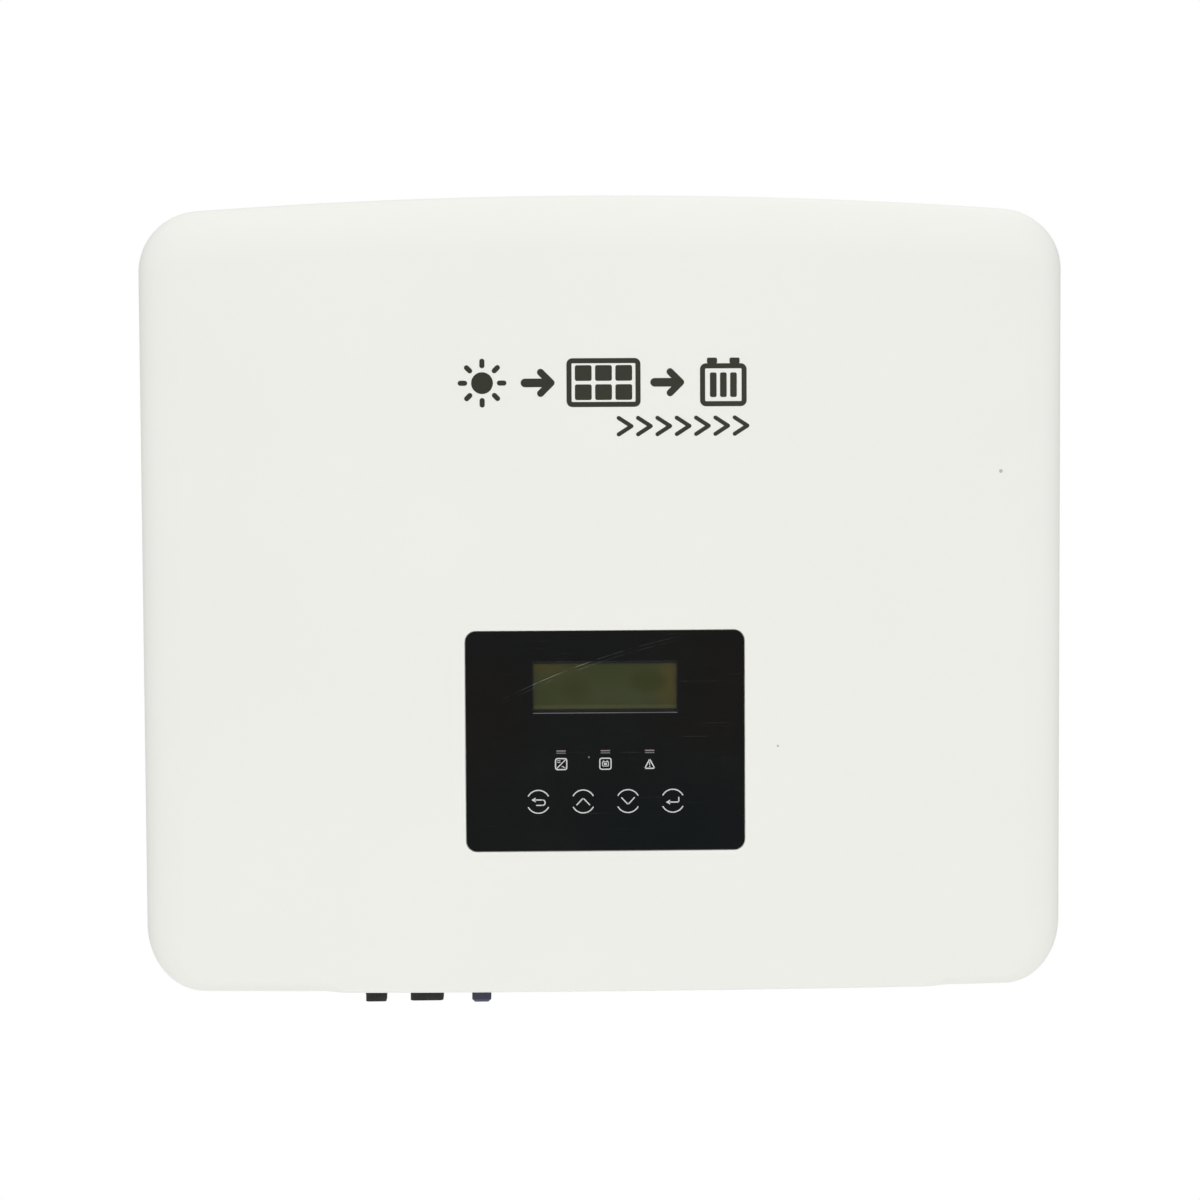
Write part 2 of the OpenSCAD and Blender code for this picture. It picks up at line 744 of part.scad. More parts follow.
module main_board() {
    color("darkgreen") difference() {
        slab(board_w, board_h, 3, board_t, y_board, board_z);
        for (p = post_places)
            rod(post_screw_d + 2 * screw_fit, board_t + 2 * over, p[0], y_board + over, p[1]);
    }
}

module board_standoffs() {
    color("goldenrod") for (p = post_places) difference() {
        union() {
            rod(post_d, post_h, p[0], y_sink, p[1], 6);
            rod(post_screw_d, 6 + 0.1, p[0], y_sink + 5.9, p[1]);
        }
        rod(post_screw_d, 8 + over, p[0], y_board + 8, p[1]);
    }
}

module board_screws() {
    color("silver") for (p = post_places)
        frame_screw(post_screw_d, 7, 5.6, 2.2, p[0], y_board_front, p[1]);
}

module_w = 62;
module_h = 48;
module_t = 11;
pad_t = 0.5;
module_places = [on_board(-0.6, 0.8), on_board(0.6, 0.8), on_board(-0.5, 0.5), on_board(0.5, 0.5)];

module power_modules() {
    color([0.2, 0.2, 0.22]) for (p = module_places)
        block(module_w, module_t, module_h, p[0], y_sink - pad_t, p[1] - module_h / 2);
}

module thermal_pads() {
    color("lightsteelblue") for (p = module_places)
        block(module_w + 2, pad_t, module_h + 2, p[0], y_sink, p[1] - module_h / 2 - 1);
}

capacitor_d = 30;
capacitor_h = 45;
capacitor_step = capacitor_d + 4;

module bus_capacitors() {
    c = on_board(0, 0.82);
    color("midnightblue") for (i = [-1.5 : 1.5], k = [-0.5, 0.5])
        rod(capacitor_d, capacitor_h, c[0] + i * capacitor_step, y_board_front,
            c[1] + k * capacitor_step);
}

module film_capacitors() {
    color("darkkhaki") for (k = [-1 : 1]) let (c = on_board(-0.72, 0.48))
        block(42, 32, 20, c[0], y_board_front, c[1] + k * 24 - 10);
}

inductor_w = 62;

module boost_inductors() {
    color("dimgray") for (sx = [-1, 1]) let (c = on_board(0.73 * sx, 0.82))
        translate([0, 0, c[1] - inductor_w / 2]) difference() {
            block(inductor_w, 50, inductor_w, c[0], y_board_front, 0);
            block(inductor_w - 6, 4, inductor_w - 6, c[0], y_board_front - 47, 3);
        }
}

module filter_chokes() {
    color("saddlebrown") for (fx = [-0.78, -0.48]) let (c = on_board(fx, 0.14))
        translate([c[0], y_board_front, c[1]]) rotate([90, 0, 0])
            rotate_extrude() translate([17, 12]) rounded(15, 22, 5);
}

module grid_relays() {
    color([0.12, 0.12, 0.14]) for (i = [0 : 2], k = [0, 1]) let (c = on_board(0.72, 0.5))
        block(28, 26, 13, c[0] + (k - 0.5) * 32, y_board_front, c[1] + (i - 1) * 18 - 6.5);
}

module current_sensors() {
    color("royalblue") for (i = [-1 : 1]) let (c = on_board(0.55, 0.14)) difference() {
        block(20, 14, 26, c[0] + i * 28, y_board_front, c[1] - 13);
        rod(9, 14 + 2 * over, c[0] + i * 28, y_board_front + over, c[1] + 3);
    }
}

control_w = 118;
control_h = 84;
control_gap = 22;
y_control = y_board_front - control_gap - board_t;
control_z = panel_z - 42;

module control_board() {
    color("seagreen") {
        block(control_w, board_t, control_h, 0, y_control + board_t, control_z);
        for (sx = [-1, 1], sz = [-1, 1])
            rod(6, control_gap, sx * (control_w / 2 - 6), y_board_front,
                control_z + control_h / 2 + sz * (control_h / 2 - 6), 6);
        block(ribbon_w + 2, 8, 6, 0, y_control, panel_z - 3);
    }
}

module control_chips() {
    color([0.1, 0.1, 0.11]) {
        block(20, 2, 20, -32, y_control, control_z + 52);
        block(14, 2, 14, 34, y_control, control_z + 56);
        for (i = [0 : 3])
            block(6, 2, 9, -42 + i * 12, y_control, control_z + 12);
    }
}

// ---------------------------------------------------------------- underside

slim_x = notch_x0 + 12;
wide_x = slim_x + socket_pitch;
battery_x = wide_x + battery_pitch;
y_row_front = y_tub_front + row_front;
y_row_back = y_row_front + row_pitch;
rows = [y_row_front, y_row_back];
y_mid = (y_row_front + y_row_back) / 2;

// The rest of the notch is shared out evenly between the other fittings.
isolator_w = 42;
comms_w = 62;
comms_d = 42;
ac_w = 36;
dongle_d = 24;
rest_start = battery_x + 14;
rest_gap = (notch_x1 - rest_start - isolator_w - comms_w - 2 * ac_w - dongle_d) / 5;
isolator_x = rest_start + rest_gap / 2 + isolator_w / 2;
dongle_x = isolator_x + isolator_w / 2 + rest_gap + dongle_d / 2;
comms_x = dongle_x + dongle_d / 2 + rest_gap + comms_w / 2;
backup_x = comms_x + comms_w / 2 + rest_gap + ac_w / 2;
grid_x = backup_x + ac_w + rest_gap;

shank_d = 14;
shank_len = 14;
socket_flange_d = 21;
socket_flange_t = 3;
shaft_d = 8;
ac_throat_d = 27;
ac_shell_d = 32;
ac_len = 14;
ac_wall = 2.5;
port_d = 20;
port_len = 9;
breather_d = 10;
breather_x = dongle_x;
plate_t = 2.5;
gland_d = 16;
gland_step = 26;
gland_bore_d = 11;
cable_d = 6;
gland_tip = plate_t + 12;

module underside_holes() {
    for (y = rows, x = [slim_x, wide_x, battery_x])
        under(x, y) translate([0, 0, -tub_wall - over])
            cylinder(d = shank_d + 2 * hole_fit, h = tub_wall + 2 * over);
    under(isolator_x, y_mid) translate([0, 0, -tub_wall - over])
        cylinder(d = shaft_d + 4, h = tub_wall + 2 * over);
    for (x = [grid_x, backup_x])
        under(x, y_mid) translate([0, 0, -tub_wall - over])
            cylinder(d = ac_throat_d + 2 * hole_fit, h = tub_wall + 2 * over);
    under(comms_x, y_mid) translate([-comms_w / 2 + 6, -comms_d / 2 + 6, -tub_wall - over])
        cube([comms_w - 12, comms_d - 12, tub_wall + 2 * over]);
    under(dongle_x, y_row_front + 4) translate([0, 0, -tub_wall - over])
        cylinder(d = port_d - 4 + 2 * hole_fit, h = tub_wall + 2 * over);
    under(breather_x, y_row_back - 2) translate([0, 0, -tub_wall - over])
        cylinder(d = breather_d + 2 * hole_fit, h = tub_wall + 2 * over);
}

// A cutting tool for the hole that a contact stands in, from above the shank to the floor.
module contact_hole(d, floor) {
    translate([0, 0, -shank_len - over]) cylinder(d = d, h = shank_len + floor + 2 * over);
}

// The part of a socket that passes through the tub's floor, up to its nut.
module socket_root() {
    cylinder(d = socket_flange_d, h = socket_flange_t);
    translate([0, 0, -shank_len]) cylinder(d = shank_d, h = shank_len + over);
}

slim_bore_d = 8;
slim_floor = 8;
contact_back = 6;
contact_root = 1.2;     // how much thicker a contact is inside its socket than at its pin

module pv_plus_sockets() {
    color([0.1, 0.1, 0.1]) for (y = rows) under(slim_x, y) difference() {
        union() {
            socket_root();
            linear_extrude(socket_len) chamfered(slim_w, slim_w, 1);
        }
        translate([0, 0, slim_floor]) cylinder(d = slim_bore_d, h = socket_len);
        contact_hole(contact_d + contact_root, slim_floor);
    }
}

wide_bore_d = 12.6;
wide_depth = 15;
wide_len = socket_len - 0.6;
pin_recess = 3;         // how far a contact's tip lies inside its socket's mouth
sleeve_d = 6.6;
sleeve_floor = 8;
sleeve_bore = 14;

module pv_minus_sockets() {
    color([0.1, 0.1, 0.1]) for (y = rows) under(wide_x, y) difference() {
        union() {
            socket_root();
            linear_extrude(wide_len) chamfered(wide_w, wide_depth, 1.5);
        }
        translate([0, 0, sleeve_floor]) cylinder(d = wide_bore_d, h = socket_len);
        contact_hole(sleeve_d, sleeve_floor);
    }
}

battery_bore_d = 6;
battery_pin_d = 3;
battery_nose_len = 19.4;

module battery_sockets() {
    color([0.1, 0.1, 0.1]) for (y = rows) under(battery_x, y) difference() {
        union() {
            socket_root();
            cylinder(d = battery_nose_d, h = battery_nose_len);
        }
        translate([0, 0, slim_floor]) cylinder(d = battery_bore_d, h = socket_len);
        contact_hole(battery_pin_d + contact_root, slim_floor);
    }
}

// A pin contact of diameter d with its tip at tip, and its thicker end in the socket.
module pin_contact(d, tip) {
    cylinder(d = d, h = tip);
    translate([0, 0, -shank_len - contact_back])
        cylinder(d = d + contact_root, h = shank_len + contact_back + slim_floor);
}

module pin_contacts() {
    color("silver") for (y = rows) {
        under(slim_x, y) pin_contact(contact_d, socket_len - pin_recess);
        under(battery_x, y) pin_contact(battery_pin_d, battery_nose_len - pin_recess);
    }
}

module sleeve_contacts() {
    color("silver") for (y = rows) under(wide_x, y) difference() {
        translate([0, 0, -shank_len - contact_back])
            cylinder(d = sleeve_d, h = shank_len + contact_back + wide_len - pin_recess);
        translate([0, 0, wide_len - pin_recess - sleeve_bore]) cylinder(d = contact_d, h = socket_len);
    }
}

module socket_nuts() {
    color("dimgray") for (y = rows, x = [slim_x, wide_x, battery_x])
        under(x, y) translate([0, 0, -tub_wall - 5]) difference() {
            cylinder(d = socket_flange_d + 2, h = 5, $fn = 6);
            translate([0, 0, -over]) cylinder(d = shank_d, h = 5 + 2 * over);
        }
}

cap_cover = 15.4;
cap_end = socket_len + 1;

// A push-on dust cap over one battery socket.
module battery_cap(y) {
    top = cap_end - cap_cover;
    cut = 1.6;
    side = [
        [-cap_w / 2, top], [cap_w / 2, top], [cap_w / 2, cap_end - cut],
        [cap_w / 2 - cut, cap_end], [cut - cap_w / 2, cap_end], [-cap_w / 2, cap_end - cut]
    ];
    color([0.25, 0.27, 0.45]) under(battery_x, y) difference() {
        intersection() {
            translate([0, 0, top]) linear_extrude(cap_cover) chamfered(cap_w, cap_w, 1);
            rotate([90, 0, 0]) linear_extrude(cap_w + 2, center = true) polygon(side);
            rotate([90, 0, 90]) linear_extrude(cap_w + 2, center = true) polygon(side);
        }
        translate([0, 0, top - over])
            cylinder(d = battery_nose_d + 2 * turn_fit, h = battery_nose_len - top + over + 1);
    }
}

// The rotary isolator: a switch block inside the tub, a plate and a knob underneath.
isolator_plate_t = 3;
knob_gap = 0.4;
knob_skirt_d = 32;
knob_skirt_h = 5;
knob_grip_w = 9;
knob_grip_h = 8;
switch_h = 36;

module isolator_switch() {
    color([0.16, 0.16, 0.17]) under(isolator_x, y_mid) difference() {
        translate([-20, -24, -tub_wall - switch_h]) cube([40, 48, switch_h]);
        translate([0, 0, -tub_wall - 20]) cylinder(d = shaft_d + 2 * turn_fit, h = 20 + over);
    }
}

module isolator_plate() {
    color([0.55, 0.56, 0.57]) under(isolator_x, y_mid) difference() {
        linear_extrude(isolator_plate_t) rounded(isolator_w, isolator_w, 4);
        translate([0, 0, -over])
            cylinder(d = shaft_d + 2 * turn_fit, h = isolator_plate_t + 2 * over);
    }
}

module isolator_knob() {
    base = isolator_plate_t + knob_gap;
    color([0.08, 0.08, 0.09]) under(isolator_x, y_mid) difference() {
        union() {
            translate([0, 0, base]) cylinder(d = knob_skirt_d, h = knob_skirt_h);
            translate([0, 0, base + knob_skirt_h - 0.1]) linear_extrude(knob_grip_h + 0.1)
                rounded(knob_grip_w, knob_skirt_d - 3, 3);
        }
        translate([0, 0, base - over]) cylinder(d = shaft_d, h = knob_skirt_h + over);
        translate([-0.8, 4, base + knob_skirt_h + knob_grip_h - 0.6]) cube([1.6, 9, over]);
    }
}

module isolator_shaft() {
    color("silver") under(isolator_x, y_mid) translate([0, 0, -tub_wall - 18])
        cylinder(d = shaft_d,
            h = tub_wall + 18 + isolator_plate_t + knob_gap + knob_skirt_h);
}

// One AC socket: a square flange, a round shell and an insert with contact wells.
module ac_socket(x, wells) {
    color([0.14, 0.14, 0.15]) under(x, y_mid) difference() {
        union() {
            linear_extrude(3) rounded(ac_w, ac_w, 4);
            cylinder(d = ac_shell_d, h = ac_len);
            translate([0, 0, -tub_wall - 8]) cylinder(d = ac_throat_d, h = tub_wall + 8 + over);
        }
        translate([0, 0, 2]) cylinder(d = ac_shell_d - 2 * ac_wall, h = ac_len);
        for (i = [0 : wells - 1]) rotate(360 / wells * i) translate([7.5, 0, -8])
            cylinder(d = 3, h = 12);
    }
}

// The cover plate of the signal ports, with two cable glands in it.
comms_glands_x = [comms_x - gland_step / 2, comms_x + gland_step / 2];

module comms_plate() {
    color([0.2, 0.2, 0.21]) under(comms_x, y_mid) difference() {
        linear_extrude(plate_t) rounded(comms_w, comms_d, 4);
        for (sx = [-1, 1]) translate([sx * gland_step / 2, 0, -over])
            cylinder(d = gland_d, h = plate_t + 2 * over);
    }
}

module comms_glands() {
    color([0.12, 0.12, 0.13]) for (x = comms_glands_x) under(x, y_mid) difference() {
        union() {
            translate([0, 0, -4]) cylinder(d = gland_d, h = 4 + plate_t);
            translate([0, 0, plate_t]) cylinder(d = 23, h = 4, $fn = 6);
            translate([0, 0, plate_t + 4]) cylinder(d = 20, h = 5);
            translate([0, 0, gland_tip - 3]) cylinder(d1 = 20, d2 = 15, h = 3);
        }
        translate([0, 0, -4 - over]) cylinder(d = gland_bore_d, h = gland_tip + 4 + 2 * over);
    }
}

module gland_inserts() {
    color("dimgray") for (x = comms_glands_x) under(x, y_mid) difference() {
        translate([0, 0, -3]) cylinder(d = gland_bore_d, h = gland_tip + 3);
        translate([0, 0, -3 - over]) cylinder(d = cable_d, h = gland_tip + 3 + 2 * over);
    }
}

module comms_board() {
    color("seagreen") under(comms_x, y_mid) {
        translate([-comms_w / 2 + 4, -comms_d / 2 + 4, -tub_wall - 22])
            cube([comms_w - 8, comms_d - 8, board_t]);
        for (i = [-1 : 1]) translate([i * 17 - 7.5, -8, -tub_wall - 22 + board_t])
            cube([15, 16, 13]);
    }
}

// The port for the plug-in data logger: a threaded collar round a flat contact tongue.
dongle_y = y_row_front + 4;

module dongle_port() {
    color([0.12, 0.12, 0.13]) under(dongle_x, dongle_y) {
        difference() {
            union() {
                cylinder(d = dongle_d, h = 2);
                cylinder(d = port_d, h = port_len);
                translate([0, 0, -tub_wall - 5])
                    cylinder(d = port_d - 4, h = tub_wall + 5 + over);
            }
            translate([0, 0, 2]) cylinder(d = port_d - 3.6, h = port_len);
            translate([-6.5, -2.8, -3]) cube([13, 5.6, 6]);
        }
        translate([-5.5, -0.8, -3.2]) cube([11, 1.8, 4.6]);
    }
}

module dongle_cap() {
    cap_h = port_len + 1.5;
    color([0.13, 0.13, 0.14]) under(dongle_x, dongle_y) difference() {
        translate([0, 0, 2.2]) cylinder(d = dongle_d, h = cap_h - 2.2 + 1);
        translate([0, 0, 2.2 - over])
            cylinder(d = port_d + 2 * turn_fit, h = port_len - 2.2 + over + 0.8);
    }
}

module breather_valve() {
    color([0.1, 0.1, 0.11]) under(breather_x, y_row_back - 2) {
        cylinder(d = 17, h = 2.5, $fn = 6);
        translate([0, 0, 2.5]) cylinder(d = 14, h = 3.5);
        translate([0, 0, -tub_wall - 5]) cylinder(d = breather_d, h = tub_wall + 5.1);
    }
}

stud_out = 18;
stud_washer_t = 1;
stud_nut_h = 4;

module ground_stud() {
    root_out = stud_washer_t + stud_nut_h;
    color("gold") translate([stud_x, stud_y, z_tub]) {
        translate([0, 0, -stud_out]) cylinder(d = stud_d, h = stud_out);
        translate([0, 0, -root_out]) cylinder(d = stud_root_d, h = root_out + stud_in);
    }
}

module ground_nut() {
    color("silver") translate([stud_x, stud_y, z_tub]) mirror([0, 0, 1]) difference() {
        union() {
            cylinder(d = 11, h = stud_washer_t);
            translate([0, 0, stud_washer_t]) cylinder(d = 11.5, h = stud_nut_h, $fn = 6);
        }
        translate([0, 0, -over]) cylinder(d = stud_root_d, h = stud_washer_t + stud_nut_h + 2 * over);
    }
}

// ---------------------------------------------------------------- nodes

wall_bracket();
cover_shell();  // front_cover
cover_tabs();
cover_screws();
chassis_tub();
lid_gasket();
chassis_lid();
frame_screws();
heat_sink();
sink_gasket();
hang_rail();
rail_screws();
wall_bumpers();
lock_screw();
display_panel();
lcd_window();
display_carrier();
lcd_frame();
lcd_glass();
light_pipes();
touch_springs();
display_board();
display_screws();
display_ribbon();
main_board();
board_standoffs();
board_screws();
power_modules();
thermal_pads();
bus_capacitors();
film_capacitors();
boost_inductors();
filter_chokes();
grid_relays();
current_sensors();
control_board();
control_chips();
isolator_switch();
isolator_plate();
isolator_knob();
isolator_shaft();
pv_plus_sockets();
pv_minus_sockets();
battery_sockets();
pin_contacts();
sleeve_contacts();
socket_nuts();
battery_cap(y_row_front);  // battery_plus_cap
battery_cap(y_row_back);  // battery_minus_cap
ac_socket(grid_x, 5);  // grid_socket
ac_socket(backup_x, 3);  // backup_socket
comms_plate();
comms_glands();
gland_inserts();
comms_board();
dongle_port();
dongle_cap();
breather_valve();
ground_stud();
ground_nut();
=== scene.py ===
"""String inverter: a wall-hung box with a moulded cover, a display and its sockets underneath.

Laid out as a Blender add-on and run as a script. Every size is in metres, in the frame of
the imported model: +Z up, the wall is y = 0, and the unit faces -Y.
"""

import json
import math
from collections import namedtuple

import bmesh
import bpy
from mathutils import Matrix, Vector


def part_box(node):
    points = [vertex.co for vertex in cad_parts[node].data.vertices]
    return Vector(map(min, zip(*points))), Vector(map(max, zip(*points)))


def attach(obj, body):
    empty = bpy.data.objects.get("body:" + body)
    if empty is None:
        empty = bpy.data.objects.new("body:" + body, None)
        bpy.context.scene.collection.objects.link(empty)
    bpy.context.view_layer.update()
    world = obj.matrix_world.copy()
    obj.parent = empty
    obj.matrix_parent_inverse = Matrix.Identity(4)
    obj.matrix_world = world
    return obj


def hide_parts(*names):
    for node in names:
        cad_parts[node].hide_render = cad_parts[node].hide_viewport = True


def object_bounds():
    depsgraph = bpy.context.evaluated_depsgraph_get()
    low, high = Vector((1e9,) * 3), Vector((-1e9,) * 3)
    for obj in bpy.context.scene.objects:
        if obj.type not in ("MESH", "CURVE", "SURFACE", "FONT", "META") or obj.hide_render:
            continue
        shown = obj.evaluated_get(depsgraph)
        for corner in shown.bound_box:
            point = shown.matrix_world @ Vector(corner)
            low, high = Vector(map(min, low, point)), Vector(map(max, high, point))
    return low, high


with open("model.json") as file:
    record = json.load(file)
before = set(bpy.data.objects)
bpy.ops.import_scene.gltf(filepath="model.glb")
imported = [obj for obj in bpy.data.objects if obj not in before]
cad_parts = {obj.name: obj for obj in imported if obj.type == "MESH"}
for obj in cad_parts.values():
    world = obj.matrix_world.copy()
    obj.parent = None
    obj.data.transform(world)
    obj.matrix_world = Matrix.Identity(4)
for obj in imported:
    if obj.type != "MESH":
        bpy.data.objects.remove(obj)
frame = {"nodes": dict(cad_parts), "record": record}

bl_info = {
    "name": "String Inverter",
    "version": (1, 0, 0),
    "blender": (4, 5, 0),
    "location": "View3D > Sidebar > Inverter",
    "description": "Builds the looks of a wall-hung string inverter on its packed model",
    "category": "Object",
}

CAD_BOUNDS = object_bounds()
COVER_LOW, COVER_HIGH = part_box("front_cover")
PANEL_LOW, PANEL_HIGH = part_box("display_panel")
TUB_LOW, TUB_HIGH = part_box("chassis_tub")
WINDOW_LOW, WINDOW_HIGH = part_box("lcd_window")
MM = 0.001
INK = 0.08 * MM  # how far the print stands proud of the cover
BATTERY_NOSE = 19.4  # length of a battery socket below the tub, in millimetres


# ---------------------------------------------------------------- sizes and colours

def length(name, description, value):
    return bpy.props.FloatProperty(
        name=name, description=description, default=value, min=0.0, precision=4,
        subtype="DISTANCE", unit="LENGTH")


def tint(name, description, value):
    return bpy.props.FloatVectorProperty(
        name=name, description=description, default=value, size=3, min=0.0, max=1.0,
        subtype="COLOR")


class CoverSizes(bpy.types.PropertyGroup):
    """Sizes of the moulded front cover."""

    corner_radius: length("Corner radius", "Radius of the corners, seen from the front", 0.032)
    top_arch: length("Top arch", "Rise of the top edge from its ends to its middle", 0.009)
    front_bow: length("Front bow", "How far the front bows forward across its width", 0.010)
    top_round: length("Top rounding", "Radius between the front and the top", 0.030)
    side_round: length("Side rounding", "Radius between the front and the sides", 0.024)
    low_round: length("Low rounding", "Radius between the front and the underside", 0.0065)
    bare_edge: length("Bare edge", "Radius of the bare edge over the notch", 0.0012)
    edge_fade: length("Edge fade", "Length over which the low rounding runs out", 0.014)
    wall: length("Wall", "Wall thickness", 0.003)
    notch_left: length("Notch left", "Distance from the left side to the notch", 0.107)
    notch_right: length("Notch right", "Distance from the right side to the notch", 0.075)
    notch_lip: length("Notch lip", "Depth of the edge that is left in front of the notch", 0.013)


class DisplaySizes(bpy.types.PropertyGroup):
    """Sizes of the display panel and its print."""

    corner_radius: length("Corner radius", "Radius of the panel's corners", 0.0055)
    ledge: length("Ledge", "Width of the ledge behind the panel", 0.004)
    fit: length("Fit", "Gap between the panel and its rebate", 0.0003)
    light_pitch: length("Light pitch", "Distance between the status lights", 0.0229)
    key_pitch: length("Key pitch", "Distance between the touch keys", 0.0232)
    key_drop: length("Key drop", "How far the keys lie below the panel's middle", 0.0314)
    icon_drop: length("Icon drop", "How far the icons lie below the panel's middle", 0.0119)
    stroke: length("Stroke", "Width of the printed lines", 0.0006)


class Finish(bpy.types.PropertyGroup):
    """Main colours."""

    cover: tint("Cover", "Colour of the moulded cover", (0.840, 0.844, 0.798))
    panel: tint("Panel", "Colour of the display panel", (0.0058, 0.0064, 0.0061))
    print_light: tint("Light print", "Colour of the print on the panel", (0.62, 0.62, 0.62))
    print_dark: tint("Dark print", "Colour of the print on the cover", (0.026, 0.028, 0.015))
    cap: tint("Dust cap", "Colour of the dust caps", (0.052, 0.054, 0.098))
    socket: tint("Socket", "Colour of the sockets", (0.022, 0.023, 0.021))


class StageSizes(bpy.types.PropertyGroup):
    """The camera, the light and the floor."""

    lens: bpy.props.FloatProperty(
        name="Lens", description="Focal length", default=90.0, min=1.0,
        subtype="DISTANCE_CAMERA")
    pitch: bpy.props.FloatProperty(
        name="Pitch", description="How far the camera looks down", default=0.05708,
        subtype="ANGLE", unit="ROTATION")
    yaw: bpy.props.FloatProperty(
        name="Yaw", description="How far the camera looks to the right", default=0.02574,
        subtype="ANGLE", unit="ROTATION")
    roll: bpy.props.FloatProperty(
        name="Roll", description="How far the camera leans", default=-0.0053,
        subtype="ANGLE", unit="ROTATION")
    aside: bpy.props.FloatProperty(
        name="Aside", description="Camera's place across the unit", default=-0.0421,
        subtype="DISTANCE", unit="LENGTH")
    distance: length("Distance", "Camera's distance from the cover's front", 1.54215)
    rise: length("Rise", "Camera's height above the cover's lower edge", 0.29184)
    floor_drop: length("Floor drop", "How far the floor lies below the unit", 1.6)
    floor_size: length("Floor size", "Radius of the floor", 5.0)


GROUPS = {
    "inverter_cover": CoverSizes, "inverter_display": DisplaySizes,
    "inverter_finish": Finish, "inverter_stage": StageSizes,
}


# ---------------------------------------------------------------- mesh helpers

def join(target, part, matrix=Matrix()):
    """Moves a finished bmesh into another one."""
    bmesh.ops.recalc_face_normals(part, faces=part.faces)
    bmesh.ops.transform(part, matrix=matrix, verts=part.verts)
    mesh = bpy.data.meshes.new("joined")
    part.to_mesh(mesh)
    part.free()
    target.from_mesh(mesh)
    bpy.data.meshes.remove(mesh)


def soften(bm, width, segments=2, angle=40.0):
    """Rounds the edges that are sharper than an angle."""
    limit = math.radians(angle)
    bm.normal_update()
    edges = [e for e in bm.edges
             if len(e.link_faces) == 2 and e.calc_face_angle(0.0) > limit]
    if edges:
        bmesh.ops.bevel(
            bm, geom=edges, offset=width, offset_type="OFFSET", segments=segments,
            profile=0.5, affect="EDGES", clamp_overlap=True, material=-1)


def sharpen(bm, angle):
    """Smooth shading, with the edges past an angle kept sharp."""
    limit = math.radians(angle)
    bm.normal_update()
    for face in bm.faces:
        face.smooth = True
    for edge in bm.edges:
        edge.smooth = len(edge.link_faces) == 2 and edge.calc_face_angle(0.0) < limit


def settle(bm, name, body, nodes, material, angle=35.0, outward=True, bevel=0.0):
    """Turns a bmesh into a piece that rides on a body and stands for CAD nodes."""
    bmesh.ops.remove_doubles(bm, verts=bm.verts, dist=1e-6)
    bmesh.ops.dissolve_degenerate(bm, edges=bm.edges, dist=1e-7)
    if outward:
        bmesh.ops.recalc_face_normals(bm, faces=bm.faces)
    sharpen(bm, angle)
    mesh = bpy.data.meshes.new(name)
    bm.to_mesh(mesh)
    bm.free()
    mesh.materials.append(material)
    piece = bpy.data.objects.new(name, mesh)
    bpy.context.scene.collection.objects.link(piece)
    if bevel:
        edge = piece.modifiers.new("Edge", "BEVEL")
        edge.width = bevel
        edge.segments = 2
        edge.limit_method = "ANGLE"
        edge.angle_limit = math.radians(angle)
        edge.use_clamp_overlap = True
    shading = piece.modifiers.new("Shading", "WEIGHTED_NORMAL")
    shading.keep_sharp = True
    if nodes:
        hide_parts(*nodes)
    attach(piece, body)
    return piece


def sheet(width, height, radius, steps):
    """A flat round-cornered sheet at height 0, centred on the Z axis."""
    bm = bmesh.new()
    made = bmesh.ops.create_grid(bm, x_segments=1, y_segments=1, size=0.5)
    bmesh.ops.scale(bm, vec=(width, height, 1), verts=made["verts"])
    bmesh.ops.bevel(
        bm, geom=bm.verts[:], offset=radius, offset_type="OFFSET", segments=steps,
        profile=0.5, affect="VERTICES", clamp_overlap=True, material=-1)
    return bm


def plate(width, height, radius, low, high, steps=6):
    """A round-cornered plate between two heights; with 1 step its corners are cut straight."""
    bm = sheet(width, height, radius, steps)
    thicken(bm, low, high)
    return bm


def thicken(bm, low, high):
    """Moves a flat sheet to one height and extrudes it to another."""
    bmesh.ops.translate(bm, vec=(0, 0, low), verts=bm.verts)
    made = bmesh.ops.extrude_face_region(bm, geom=bm.faces[:], use_keep_orig=True)
    moved = [v for v in made["geom"] if isinstance(v, bmesh.types.BMVert)]
    bmesh.ops.translate(bm, vec=(0, 0, high - low), verts=moved)
    bmesh.ops.recalc_face_normals(bm, faces=bm.faces)


def turned(profile, steps=48, closed=False):
    """A profile of (radius, height) turned round the Z axis."""
    bm = bmesh.new()
    verts = [bm.verts.new((r, 0, h)) for r, h in profile]
    pairs = list(zip(verts, verts[1:])) + ([(verts[-1], verts[0])] if closed else [])
    edges = [bm.edges.new(pair) for pair in pairs]
    bmesh.ops.spin(
        bm, geom=verts + edges, cent=(0, 0, 0), axis=(0, 0, 1), angle=math.tau, steps=steps,
        use_merge=True, use_duplicate=False)
    bmesh.ops.remove_doubles(bm, verts=bm.verts, dist=1e-7)
    bmesh.ops.dissolve_degenerate(bm, edges=bm.edges, dist=1e-7)
    bmesh.ops.recalc_face_normals(bm, faces=bm.faces)
    return bm


